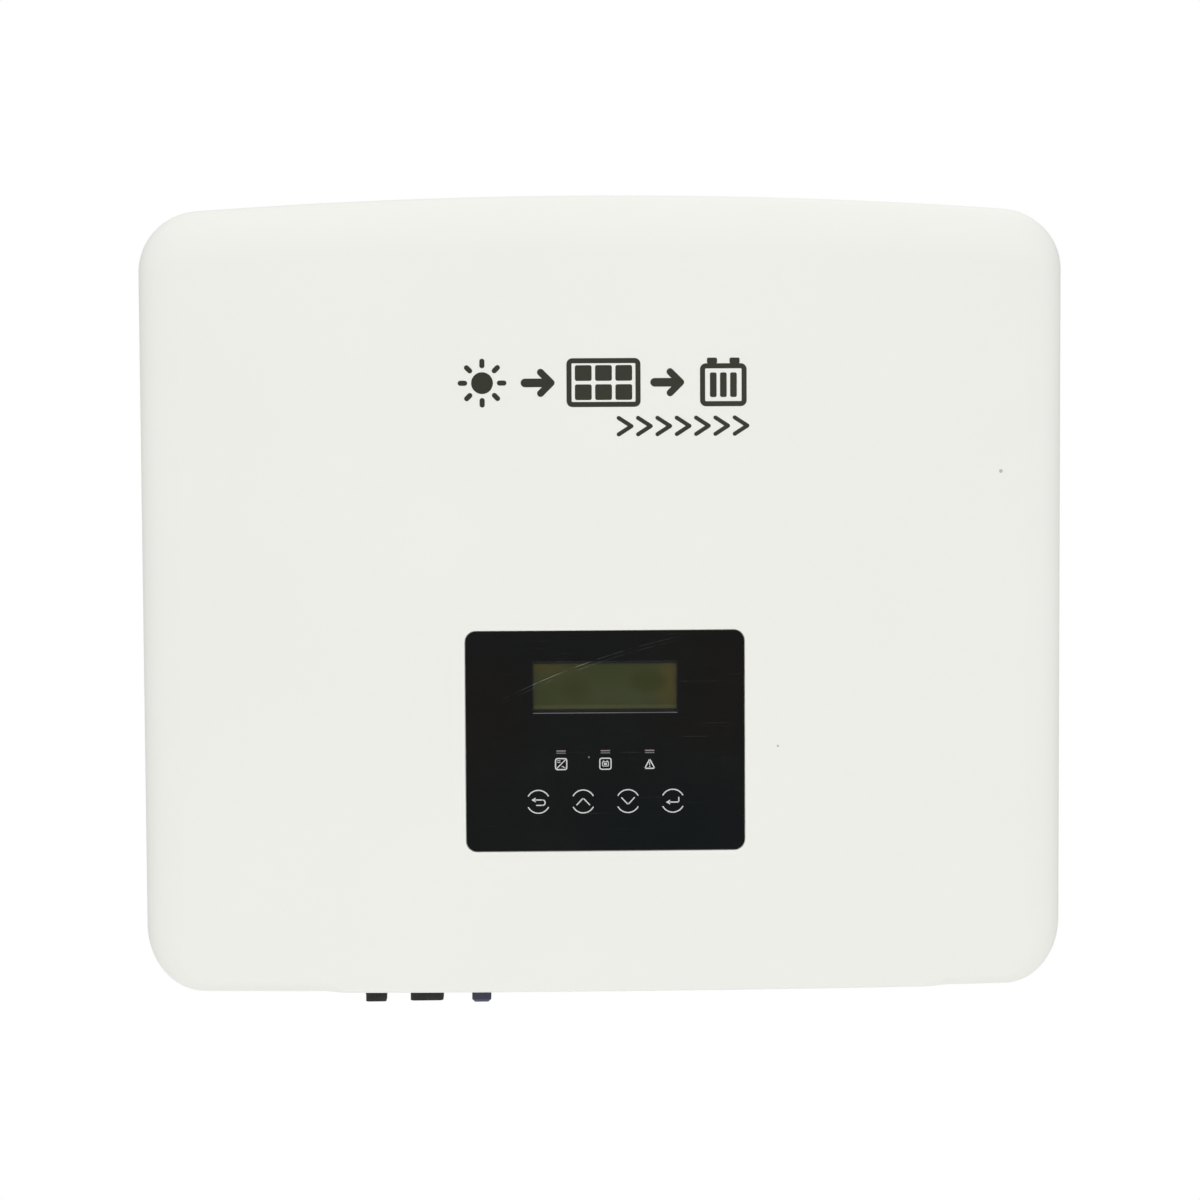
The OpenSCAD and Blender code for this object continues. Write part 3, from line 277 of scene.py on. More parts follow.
def bored(bm, height, radius, depth, steps=32):
    """Cuts a round blind bore into the flat end face at a height, by bridging two loops."""
    end = max((f for f in bm.faces if abs(f.calc_center_median().z - height) < 1e-6),
              key=lambda f: f.calc_area())
    rim = end.edges[:]
    bmesh.ops.delete(bm, geom=[end], context="FACES_ONLY")
    made = bmesh.ops.create_circle(bm, cap_ends=False, radius=radius, segments=steps)
    bmesh.ops.translate(bm, vec=(0, 0, height), verts=made["verts"])
    hole = list({e for v in made["verts"] for e in v.link_edges})
    bmesh.ops.bridge_loops(bm, edges=rim + hole)
    deep = bmesh.ops.extrude_edge_only(bm, edges=hole)["geom"]
    low = [v for v in deep if isinstance(v, bmesh.types.BMVert)]
    bmesh.ops.translate(bm, vec=(0, 0, -depth), verts=low)
    floor = [e for e in deep
             if isinstance(e, bmesh.types.BMEdge) and all(v in low for v in e.verts)]
    bmesh.ops.contextual_create(bm, geom=floor)
    bmesh.ops.recalc_face_normals(bm, faces=bm.faces)


def refined(name, body, nodes, material, bevel=0.25 * MM, angle=30.0):
    """A merged copy of CAD nodes with its flat faces joined and its edges rounded."""
    bm = bmesh.new()
    for node in nodes:
        bm.from_mesh(frame["nodes"][node].data)
    bmesh.ops.remove_doubles(bm, verts=bm.verts, dist=1e-6)
    bmesh.ops.dissolve_degenerate(bm, edges=bm.edges, dist=1e-6)
    bmesh.ops.dissolve_limit(
        bm, angle_limit=math.radians(0.4), use_dissolve_boundaries=False, verts=bm.verts,
        edges=bm.edges, delimit=set())
    return settle(bm, name, body, nodes, material, angle, False, bevel)


def drilled(piece, cutters):
    """Cuts turned shapes out of a piece for good."""
    mesh = bpy.data.meshes.new("cutters")
    cutters.to_mesh(mesh)
    cutters.free()
    cutter = bpy.data.objects.new("cutters", mesh)
    bpy.context.scene.collection.objects.link(cutter)
    kept = piece.modifiers[:]
    for modifier in kept:
        modifier.show_viewport = False
    cut = piece.modifiers.new("Holes", "BOOLEAN")
    cut.operation, cut.solver, cut.object = "DIFFERENCE", "EXACT", cutter
    solid = bpy.data.meshes.new_from_object(
        piece.evaluated_get(bpy.context.evaluated_depsgraph_get()))
    piece.modifiers.remove(cut)
    for modifier in kept:
        modifier.show_viewport = True
    bpy.data.objects.remove(cutter)
    bm = bmesh.new()
    bm.from_mesh(solid)
    bmesh.ops.remove_doubles(bm, verts=bm.verts, dist=1e-6)
    bmesh.ops.dissolve_degenerate(bm, edges=bm.edges, dist=1e-6)
    sharpen(bm, 38.0)
    bm.to_mesh(piece.data)
    bm.free()


def below(node):
    """A frame whose +Z points down from the tub's underside, at a node's middle."""
    low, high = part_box(node)
    return below_at((low.x + high.x) / 2, (low.y + high.y) / 2)


def below_at(x, y):
    """A frame whose +Z points down from the tub's underside, at a place."""
    return Matrix.Translation((x, y, TUB_LOW.z)) @ Matrix.Rotation(math.pi, 4, "X")


def facing(y, z):
    """A frame whose X and Y lie across and up a front face, and whose Z points forwards."""
    return Matrix.Translation((0, y, z)) @ Matrix.Rotation(math.pi / 2, 4, "X")


def lines_of(node, axis):
    """The middles of the separate groups of a node's vertices along one axis, in order."""
    places = sorted(v.co[axis] for v in frame["nodes"][node].data.vertices)
    groups = [[places[0]]]
    for place in places[1:]:
        if place - groups[-1][-1] > 6 * MM:
            groups.append([])
        groups[-1].append(place)
    return [(g[0] + g[-1]) / 2 for g in groups]


# ---------------------------------------------------------------- printed shapes

def bar(a, b, width, thick):
    """A round-ended line from a to b."""
    a, b = Vector(a), Vector(b)
    run = b - a
    bm = plate(run.length + width, width, width * 0.499, 0, thick, 4)
    turn = Matrix.Rotation(math.atan2(run.y, run.x), 4, "Z")
    bmesh.ops.transform(bm, matrix=Matrix.Translation(((a + b) / 2).to_3d()) @ turn, verts=bm.verts)
    return bm


def arc(centre, radius, start, end, width, thick, steps=18):
    """A line along part of a circle; the angles are in degrees."""
    bm = bmesh.new()
    verts = [bm.verts.new((radius - width / 2, 0, 0)), bm.verts.new((radius + width / 2, 0, 0))]
    bm.edges.new(verts)
    bmesh.ops.rotate(bm, verts=verts, cent=(0, 0, 0),
                     matrix=Matrix.Rotation(math.radians(start), 3, "Z"))
    bmesh.ops.spin(bm, geom=bm.verts[:] + bm.edges[:], cent=(0, 0, 0), axis=(0, 0, 1),
                   angle=math.radians(end - start), steps=steps, use_duplicate=False)
    bmesh.ops.translate(bm, vec=Vector(centre).to_3d(), verts=bm.verts)
    thicken(bm, 0, thick)
    return bm


def hoop(centre, width, height, radius, stroke, thick):
    """The outline of a round-cornered rectangle."""
    bm = sheet(width, height, radius, 5)
    inner = bm.faces[:]
    bm.normal_update()
    bmesh.ops.inset_region(bm, faces=inner, thickness=stroke, use_boundary=True,
                           use_even_offset=True)
    bmesh.ops.delete(bm, geom=inner, context="FACES")
    bmesh.ops.translate(bm, vec=Vector(centre).to_3d(), verts=bm.verts)
    thicken(bm, 0, thick)
    return bm


def disc(centre, radius, thick, sides=28, turn=0.0):
    """A filled circle, or a regular shape with few sides."""
    bm = bmesh.new()
    bmesh.ops.create_circle(bm, cap_ends=True, radius=radius, segments=sides)
    bmesh.ops.rotate(bm, verts=bm.verts, cent=(0, 0, 0),
                     matrix=Matrix.Rotation(math.radians(turn), 3, "Z"))
    bmesh.ops.translate(bm, vec=Vector(centre).to_3d(), verts=bm.verts)
    thicken(bm, 0, thick)
    return bm


def patch(centre, width, height, radius, thick):
    """A filled round-cornered rectangle."""
    bm = plate(width, height, radius, 0, thick, 4)
    bmesh.ops.translate(bm, vec=Vector(centre).to_3d(), verts=bm.verts)
    return bm


# ---------------------------------------------------------------- node helpers

class Nodes:
    """Short names for adding and joining shader nodes."""

    def __init__(self, tree):
        self.tree = tree

    def add(self, kind, values=None, **settings):
        node = self.tree.nodes.new(kind)
        for key, value in settings.items():
            setattr(node, key, value)
        for key, value in (values or {}).items():
            self.feed(node.inputs[key], value)
        return node

    def feed(self, socket, value):
        if isinstance(value, bpy.types.NodeSocket):
            self.tree.links.new(value, socket)
        else:
            socket.default_value = value

    def math(self, operation, a, b=0.0, clamp=False):
        return self.add("ShaderNodeMath", {0: a, 1: b}, operation=operation,
                        use_clamp=clamp).outputs[0]

    def remap(self, value, low, high, to_low=0.0, to_high=1.0):
        return self.add("ShaderNodeMapRange", {
            "Value": value, "From Min": low, "From Max": high, "To Min": to_low,
            "To Max": to_high}).outputs["Result"]

    def mix(self, factor, a, b, blend="MIX"):
        node = self.add("ShaderNodeMix", data_type="RGBA", blend_type=blend)
        self.feed(node.inputs["Factor"], factor)
        self.feed(node.inputs["A"], a if isinstance(a, bpy.types.NodeSocket) else (*a, 1.0))
        self.feed(node.inputs["B"], b if isinstance(b, bpy.types.NodeSocket) else (*b, 1.0))
        return node.outputs["Result"]

    def noise(self, place, scale, detail=3.0, roughness=0.55):
        return self.add("ShaderNodeTexNoise", {
            "Vector": place, "Scale": scale, "Detail": detail,
            "Roughness": roughness}).outputs["Fac"]

    def place(self):
        return self.add("ShaderNodeTexCoord").outputs["Object"]

    def stretch(self, place, scale, turn=(0.0, 0.0, 0.0), move=(0.0, 0.0, 0.0)):
        return self.add("ShaderNodeMapping", {
            "Vector": place, "Scale": scale, "Rotation": turn, "Location": move}).outputs[0]

    def blob(self, place, centre, radii, soft=1.0):
        """A soft spot: 1 at its centre and 0 past its radii."""
        mapped = self.add("ShaderNodeMapping", {
            "Vector": place, "Location": centre, "Scale": radii}, vector_type="TEXTURE")
        ball = self.add("ShaderNodeTexGradient", {"Vector": mapped.outputs[0]},
                        gradient_type="SPHERICAL").outputs["Fac"]
        return self.remap(ball, 0.0, soft)

    def group(self, tree, values):
        node = self.add("ShaderNodeGroup", node_tree=tree)
        for key, value in values.items():
            self.feed(node.inputs[key], value)
        return node.outputs


def new_group(name, inputs, outputs):
    """An empty shader node group with its sockets."""
    tree = bpy.data.node_groups.new(name, "ShaderNodeTree")
    for label, kind, value in inputs:
        socket = tree.interface.new_socket(label, in_out="INPUT", socket_type=kind)
        if value is not None:
            socket.default_value = value
    for label, kind in outputs:
        tree.interface.new_socket(label, in_out="OUTPUT", socket_type=kind)
    n = Nodes(tree)
    return n, n.add("NodeGroupInput").outputs, n.add("NodeGroupOutput").inputs, tree


def grain_group():
    """Fine grain for a moulded, cast or painted face, with slow tone changes."""
    if "Grain" in bpy.data.node_groups:
        return bpy.data.node_groups["Grain"]
    n, given, out, tree = new_group("Grain", [
        ("Place", "NodeSocketVector", None), ("Grain Scale", "NodeSocketFloat", 900.0),
        ("Tone Scale", "NodeSocketFloat", 12.0), ("Rough Low", "NodeSocketFloat", 0.4),
        ("Rough High", "NodeSocketFloat", 0.5),
    ], [("Height", "NodeSocketFloat"), ("Tone", "NodeSocketFloat"),
        ("Roughness", "NodeSocketFloat")])
    fine = n.noise(given["Place"], given["Grain Scale"], 4.0)
    slow = n.noise(given["Place"], given["Tone Scale"], 3.0)
    both = n.math("ADD", n.math("MULTIPLY", fine, 0.4), n.math("MULTIPLY", slow, 0.6))
    n.feed(out["Height"], fine)
    n.feed(out["Tone"], n.remap(slow, 0.3, 0.7))
    n.feed(out["Roughness"], n.remap(both, 0.3, 0.7, given["Rough Low"], given["Rough High"]))
    return tree


def scuff_group():
    """Fine hair scratches and wiping marks, as a mask."""
    if "Scuffs" in bpy.data.node_groups:
        return bpy.data.node_groups["Scuffs"]
    n, given, out, tree = new_group("Scuffs", [
        ("Place", "NodeSocketVector", None), ("Amount", "NodeSocketFloat", 0.5),
    ], [("Mask", "NodeSocketFloat"), ("Wipe", "NodeSocketFloat")])
    hairs = None
    for turn, width in ((0.5, 900.0), (-0.35, 1300.0), (1.35, 1100.0), (0.1, 1000.0)):
        lined = n.stretch(given["Place"], (14.0, 1.0, width), (0.0, turn, 0.0))
        line = n.remap(n.noise(lined, 1.0, 1.0), 0.72, 0.8)
        hairs = line if hairs is None else n.math("MAXIMUM", hairs, line)
    gate = n.remap(n.noise(given["Place"], 45.0, 3.0), 0.48, 0.64)
    n.feed(out["Mask"], n.math("MULTIPLY", n.math("MULTIPLY", hairs, gate), given["Amount"]))
    n.feed(out["Wipe"], n.remap(n.noise(given["Place"], 26.0, 5.0, 0.7), 0.35, 0.75))
    return tree


def wear_group():
    """Thin dust over a face, in uneven clouds."""
    if "Wear" in bpy.data.node_groups:
        return bpy.data.node_groups["Wear"]
    n, given, out, tree = new_group("Wear", [
        ("Place", "NodeSocketVector", None), ("Colour", "NodeSocketColor", None),
        ("Dust", "NodeSocketFloat", 0.1),
    ], [("Colour", "NodeSocketColor")])
    cloud = n.remap(n.noise(given["Place"], 60.0, 6.0, 0.7), 0.5, 0.75)
    dusty = n.math("MULTIPLY", cloud, given["Dust"], clamp=True)
    n.feed(out["Colour"], n.mix(dusty, given["Colour"], (0.36, 0.34, 0.30)))
    return tree


def start_material(name, values):
    """A material with a Principled shader whose plain sockets are set, and its helper."""
    material = bpy.data.materials.new(name + "_finish")
    material.use_nodes = True
    n = Nodes(material.node_tree)
    shader = material.node_tree.nodes["Principled BSDF"]
    for key, value in values.items():
        shader.inputs[key].default_value = value
    return material, n, shader.inputs


def coat(n, shader, colour, roughness, height, strength, distance=0.1 * MM):
    """Joins a colour, a roughness and a bump to the shader."""
    n.feed(shader["Base Color"], colour)
    n.feed(shader["Roughness"], roughness)
    bumped = n.add("ShaderNodeBump", {
        "Strength": strength, "Distance": distance, "Height": height})
    n.feed(shader["Normal"], bumped.outputs[0])


def grained(name, colour, rough=(0.4, 0.5), metallic=0.0, scale=900.0, bump=0.06, tone=0.08,
            dust=0.0, stretch=None, values=None):
    """A moulded, cast, painted or rubber finish with grain, slow tone changes and dust."""
    material, n, shader = start_material(name, {"Metallic": metallic, **(values or {})})
    place = n.place()
    lined = n.stretch(place, stretch) if stretch else place
    grain = n.group(grain_group(), {
        "Place": lined, "Grain Scale": scale, "Tone Scale": 14.0, "Rough Low": rough[0],
        "Rough High": rough[1]})
    low = [c * (1 - tone) for c in colour]
    high = [min(c * (1 + tone), 1.0) for c in colour]
    shade = n.mix(grain["Tone"], low, high)
    if dust:
        shade = n.group(wear_group(), {"Place": place, "Colour": shade, "Dust": dust})["Colour"]
    coat(n, shader, shade, grain["Roughness"], grain["Height"], bump, 0.2 * MM)
    return material


# ---------------------------------------------------------------- finishes

def cover_finish():
    """Satin moulded plastic: fine spark-eroded grain, and two small dark specks."""
    colour = bpy.context.scene.inverter_finish.cover
    material, n, shader = start_material("cover_white", {"Specular IOR Level": 0.35})
    place = n.place()
    grain = n.group(grain_group(), {
        "Place": place, "Grain Scale": 1600.0, "Tone Scale": 9.0, "Rough Low": 0.46,
        "Rough High": 0.54})
    shade = n.mix(grain["Tone"], [c * 0.995 for c in colour], [c * 1.005 for c in colour])
    for x, rise, size in ((0.2059, 0.2688, 0.0012), (0.0894, 0.1273, 0.0008)):
        spot = n.blob(place, (x, COVER_LOW.y + 0.005, COVER_LOW.z + rise), (size, 0.012, size), 0.4)
        shade = n.mix(n.math("MULTIPLY", spot, 0.55), shade, (0.16, 0.15, 0.13))
    coat(n, shader, shade, grain["Roughness"], grain["Height"], 0.05)
    return material


def long_scratch(n, place):
    """The mask of one long shallow scratch across the screen and the panel."""
    middle = (WINDOW_LOW.z + WINDOW_HIGH.z) / 2
    flat = n.add("ShaderNodeVectorMath", {0: place, 1: (1.0, 0.0, 1.0)},
                 operation="MULTIPLY").outputs[0]
    reach = n.add("ShaderNodeVectorMath", {0: flat, 1: (0.1157, 0.0, middle - 0.3416)},
                  operation="DISTANCE").outputs["Value"]
    off = n.math("ABSOLUTE", n.math("SUBTRACT", reach, 0.3757))
    thin = n.remap(off, 0.00028, 0.00008)
    second = n.remap(n.math("ABSOLUTE", n.math("SUBTRACT", reach, 0.3739)), 0.0005, 0.0001)
    near = n.blob(place, (-0.012, PANEL_LOW.y, middle + 0.012), (0.062, 0.05, 0.030), 0.35)
    broken = n.remap(n.noise(place, 160.0, 2.0), 0.34, 0.52)
    both = n.math("MAXIMUM", thin, n.math("MULTIPLY", second, 0.35))
    return n.math("MULTIPLY", n.math("MULTIPLY", both, near), broken)


def panel_finish():
    """Glossy black print behind a clear film, with wiping marks and hair scratches."""
    colour = bpy.context.scene.inverter_finish.panel
    material, n, shader = start_material("panel_black", {"Specular IOR Level": 0.5})
    place = n.place()
    middle = (PANEL_LOW.z + PANEL_HIGH.z) / 2
    cloud = n.noise(place, 22.0, 2.0)
    warm = n.math("MAXIMUM", n.blob(place, (0.056, PANEL_LOW.y, middle + 0.03), (0.05, 0.2, 0.05)),
                  n.blob(place, (-0.062, PANEL_LOW.y, middle + 0.012), (0.032, 0.2, 0.045)))
    cool = n.blob(place, (0.03, PANEL_LOW.y, middle - 0.045), (0.09, 0.2, 0.05))
    shade = n.mix(n.math("MULTIPLY", warm, n.remap(cloud, 0.3, 0.6)), colour,
                  (colour[0] * 1.35, colour[1] * 0.96, colour[2] * 0.86))
    shade = n.mix(cool, shade, (colour[0] * 0.72, colour[1] * 0.98, colour[2] * 1.12))
    scuffs = n.group(scuff_group(), {"Place": place, "Amount": 0.5})
    marks = n.math("MAXIMUM", scuffs["Mask"], n.math("MULTIPLY", long_scratch(n, place), 0.5))
    shade = n.mix(n.math("MULTIPLY", marks, 0.7), shade, (0.075, 0.085, 0.08))
    dot = n.blob(place, (-0.0085, PANEL_LOW.y, middle - 0.0084), (0.0006, 0.02, 0.0006), 0.4)
    shade = n.mix(dot, shade, (0.16, 0.16, 0.16))
    rough = n.remap(n.math("ADD", scuffs["Wipe"], marks), 0.0, 1.6, 0.09, 0.3)
    coat(n, shader, shade, rough, cloud, 0.03)
    return material


def window_finish():
    """The clear part of the film, over the screen, with the same long scratch."""
    material, n, shader = start_material("window_clear", {"Alpha": 0.16, "Roughness": 0.09})
    place = n.place()
    marks = long_scratch(n, place)
    n.feed(shader["Base Color"], n.mix(marks, (0.02, 0.02, 0.016), (0.30, 0.30, 0.24)))
    n.feed(shader["Alpha"], n.remap(marks, 0.0, 1.0, 0.16, 0.34))
    return material


def screen_finish():
    """Unlit olive screen glass, browner towards its ends, with two dull smudges."""
    material, n, shader = start_material("lcd_green", {"Specular IOR Level": 0.25})
    place = n.place()
    middle = (WINDOW_LOW.z + WINDOW_HIGH.z) / 2
    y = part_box("lcd_glass")[0].y

    def spot(x, z, rx, rz, soft=1.0):
        return n.blob(place, (x, y, middle + z), (rx, 0.05, rz), soft)

    olive, brown, dull = (0.068, 0.081, 0.027), (0.110, 0.089, 0.022), (0.052, 0.062, 0.010)
    shade = n.mix(spot(-0.031, 0.013, 0.020, 0.009), olive, brown)
    shade = n.mix(spot(0.042, 0.003, 0.020, 0.026, 0.55), shade, brown)
    shade = n.mix(n.math("MULTIPLY", spot(-0.0148, -0.0012, 0.009, 0.0085), 0.85), shade, dull)
    shade = n.mix(n.math("MULTIPLY", spot(0.0225, 0.0028, 0.0115, 0.0075, 0.5), 0.8), shade, dull)
    height = n.add("ShaderNodeSeparateXYZ", {0: place}).outputs["Z"]
    low = n.remap(height, middle - 0.0088, middle - 0.0097)
    shade = n.mix(low, shade, (0.108, 0.118, 0.043))
    grain = n.group(grain_group(), {
        "Place": n.stretch(place, (0.35, 1.0, 1.6)), "Grain Scale": 420.0, "Tone Scale": 60.0,
        "Rough Low": 0.3, "Rough High": 0.42})
    shade = n.mix(n.math("MULTIPLY", grain["Tone"], 0.16), shade, (0.10, 0.11, 0.06))
    edge = n.math("MAXIMUM", n.remap(height, middle - 0.0110, middle - 0.0114),
                  n.remap(height, middle + 0.0120, middle + 0.0124))
    shade = n.mix(edge, shade, (0.034, 0.032, 0.026))
    n.feed(shader["Base Color"], shade)
    n.feed(shader["Roughness"], grain["Roughness"])
    return material


def powder_finish():
    """Grey powder coat with its orange-peel surface."""
    material, n, shader = start_material("sheet_metal", {"Metallic": 0.0})
    place = n.place()
    peel = n.add("ShaderNodeTexVoronoi", {"Vector": place, "Scale": 650.0},
                 feature="SMOOTH_F1").outputs["Distance"]
    grain = n.group(grain_group(), {
        "Place": place, "Grain Scale": 1500.0, "Tone Scale": 10.0, "Rough Low": 0.48,
        "Rough High": 0.6})
    shade = n.mix(grain["Tone"], (0.33, 0.335, 0.34), (0.38, 0.385, 0.385))
    shade = n.group(wear_group(), {"Place": place, "Colour": shade, "Dust": 0.06})["Colour"]
    coat(n, shader, shade, grain["Roughness"], peel, 0.12, 0.2 * MM)
    return material


def aluminium_finish(name="aluminium", colour=(0.56, 0.57, 0.58)):
    """Extruded aluminium with fine die lines along its length."""
    material, n, shader = start_material(name, {"Metallic": 1.0})
    place = n.place()
    lines = n.noise(n.stretch(place, (1400.0, 1400.0, 6.0)), 1.0, 2.0)
    grain = n.group(grain_group(), {
        "Place": place, "Grain Scale": 700.0, "Tone Scale": 16.0, "Rough Low": 0.3,
        "Rough High": 0.46})
    shade = n.mix(n.math("ADD", n.math("MULTIPLY", lines, 0.5), n.math(
        "MULTIPLY", grain["Tone"], 0.5)), [c * 0.86 for c in colour], [c * 1.08 for c in colour])
    shade = n.group(wear_group(), {"Place": place, "Colour": shade, "Dust": 0.10})["Colour"]
    coat(n, shader, shade, grain["Roughness"], lines, 0.10)
    return material


def galvanised_finish():
    """Hot-dip zinc with its spangle."""
    material, n, shader = start_material("galvanised", {"Metallic": 1.0})
    place = n.place()
    cells = n.add("ShaderNodeTexVoronoi", {"Vector": place, "Scale": 280.0},
                  feature="F1").outputs["Color"]
    tone = n.add("ShaderNodeSeparateColor", {0: cells}).outputs[0]
    grain = n.group(grain_group(), {
        "Place": place, "Grain Scale": 900.0, "Tone Scale": 22.0, "Rough Low": 0.34,
        "Rough High": 0.5})
    shade = n.mix(tone, (0.49, 0.505, 0.515), (0.59, 0.60, 0.61))
    shade = n.group(wear_group(), {"Place": place, "Colour": shade, "Dust": 0.12})["Colour"]
    rough = n.math("ADD", grain["Roughness"], n.math("MULTIPLY", tone, 0.08), clamp=True)
    coat(n, shader, shade, rough, tone, 0.05)
    return material


def steel_finish():
    """Zinc-plated steel, turned and lightly brushed."""
    return grained("steel", (0.62, 0.63, 0.62), (0.22, 0.36), 1.0, 260.0, 0.08, 0.10, 0.0,
                   (1.0, 1.0, 14.0))


def board_finish():
    """Green solder resist over copper tracks, with bare pads between them."""
    material, n, shader = start_material("board_green", {"Coat Weight": 0.4, "Coat Roughness": 0.2})
    place = n.place()
    turned_place = n.stretch(place, (1.0, 1.0, 1.0), (math.pi / 2, 0.0, 0.0))
    tracks = n.add("ShaderNodeTexBrick", {
        "Vector": turned_place, "Scale": 60.0, "Mortar Size": 0.035, "Mortar Smooth": 0.1,
        "Brick Width": 0.9, "Row Height": 0.35}).outputs["Fac"]
    pads = n.remap(n.add("ShaderNodeTexVoronoi", {
        "Vector": turned_place, "Scale": 210.0}, feature="F1").outputs["Distance"], 0.13, 0.10)
    gate = n.remap(n.noise(place, 90.0, 1.0), 0.55, 0.6)
    shade = n.mix(tracks, (0.010, 0.085, 0.035), (0.022, 0.155, 0.060))
    shade = n.mix(n.math("MULTIPLY", pads, gate), shade, (0.55, 0.52, 0.45))
    coat(n, shader, shade, n.remap(tracks, 0.0, 1.0, 0.32, 0.42), tracks, 0.15)
    return material


def banded(name, colour, other, across, turns, rough, metallic=0.0):
    """A finish with fine parallel bands, such as windings or the wires of a flat cable."""
    material, n, shader = start_material(name, {"Metallic": metallic})
    place = n.place()
    wave = n.add("ShaderNodeTexWave", {
        "Vector": place, "Scale": turns, "Distortion": 0.4, "Detail": 1.0},
        wave_type="BANDS", bands_direction=across).outputs["Fac"]
    shade = n.mix(n.remap(wave, 0.25, 0.75), other, colour)
    coat(n, shader, shade, n.remap(wave, 0.0, 1.0, rough[1], rough[0]), wave, 0.5, 0.3 * MM)
    return material


def build_finishes():
    """Builds the finish of every material slot, and those of the prints and small parts."""
    f = bpy.context.scene.inverter_finish
    cover_finish()
    steel_finish()
    powder_finish()
    aluminium_finish()
    galvanised_finish()
    grained("rubber", (0.018, 0.018, 0.018), (0.62, 0.78), scale=1200.0, bump=0.14,
            tone=0.15, dust=0.08)
    panel_finish()
    window_finish()
    screen_finish()
    grained("black_plastic", f.socket, (0.38, 0.52), scale=1300.0,
            bump=0.12, tone=0.12, dust=0.05)
    grained("grey_plastic", (0.17, 0.175, 0.18), (0.42, 0.54), scale=1300.0,
            bump=0.10, tone=0.06, dust=0.05)
    # painted shade: the lower rib of each status light, a darker copy of the upper one
    grained("light_grey", (0.17, 0.17, 0.17), (0.35, 0.5), scale=2500.0,
            bump=0.10, tone=0.10)
    grained("cap_blue", f.cap, (0.42, 0.56), scale=1500.0, bump=0.10, tone=0.10)
    board_finish()
    grained("brass", (0.60, 0.42, 0.16), (0.22, 0.36), 1.0, 300.0, 0.07, 0.08, 0.0,
            (1.0, 1.0, 12.0))
    grained("contact_silver", (0.72, 0.72, 0.70), (0.14, 0.26), 1.0, 400.0,
            0.04, 0.06)
    banded("cable_white", (0.55, 0.55, 0.53), (0.36, 0.36, 0.36), "X", 250.0,
           (0.4, 0.55))
    grained("pad_blue", (0.11, 0.21, 0.34), (0.7, 0.85), scale=700.0, bump=0.15)
    grained("capacitor_blue", (0.006, 0.012, 0.05), (0.22, 0.34),
            scale=500.0, bump=0.06, tone=0.15)
    grained("film_yellow", (0.44, 0.34, 0.11), (0.35, 0.5), scale=900.0,
            bump=0.08)
    grained("chip_black", (0.012, 0.012, 0.013), (0.45, 0.6), scale=1800.0,
            bump=0.12)
    banded("copper", (0.33, 0.12, 0.035), (0.12, 0.045, 0.015), "DIAGONAL", 260.0,
           (0.25, 0.45), 0.6)
    aluminium_finish("inductor_grey", (0.42, 0.43, 0.44))
    grained("sensor_blue", (0.015, 0.055, 0.24), (0.38, 0.5), scale=1100.0,
            bump=0.08)
    grained("print_light", f.print_light, (0.4, 0.5), scale=2600.0, bump=0.04,
            tone=0.06)
    grained("print_dark", f.print_dark, (0.5, 0.6), scale=2600.0, bump=0.04,
            tone=0.10)
    # painted highlight: the upper rib of each status light, lighter and rosier than the lower one
    grained("painted_highlight_rose_grey", (0.30, 0.24, 0.235), (0.35, 0.5), scale=2500.0,
            bump=0.08, tone=0.12)
    grained("smoke_grey", (0.022, 0.022, 0.023), (0.25, 0.35), scale=1500.0,
            bump=0.06, tone=0.15)
    grained("seal_grey", (0.15, 0.15, 0.17), (0.3, 0.45), scale=400.0,
            bump=0.06, tone=0.35)
    grained("screen_frame", (0.05, 0.05, 0.05), (0.4, 0.5), 0.6, 900.0, 0.05,
            0.12)


def finish(slot):
    """A finish by its name; all of them are built when the first is asked for."""
    if slot + "_finish" not in bpy.data.materials:
        build_finishes()
    return bpy.data.materials[slot + "_finish"]


# ---------------------------------------------------------------- cover

def smooth(t):
    return t * t * (3 - 2 * t)


def blend(a, b, t):
    return a + (b - a) * smooth(min(max(t, 0.0), 1.0))


CORNER_STEPS, SIDE_STEPS, TOP_STEPS, FACE_STEPS = 16, 24, 56, 12
Place = namedtuple("Place", "x z out_x out_z radius notch part share")


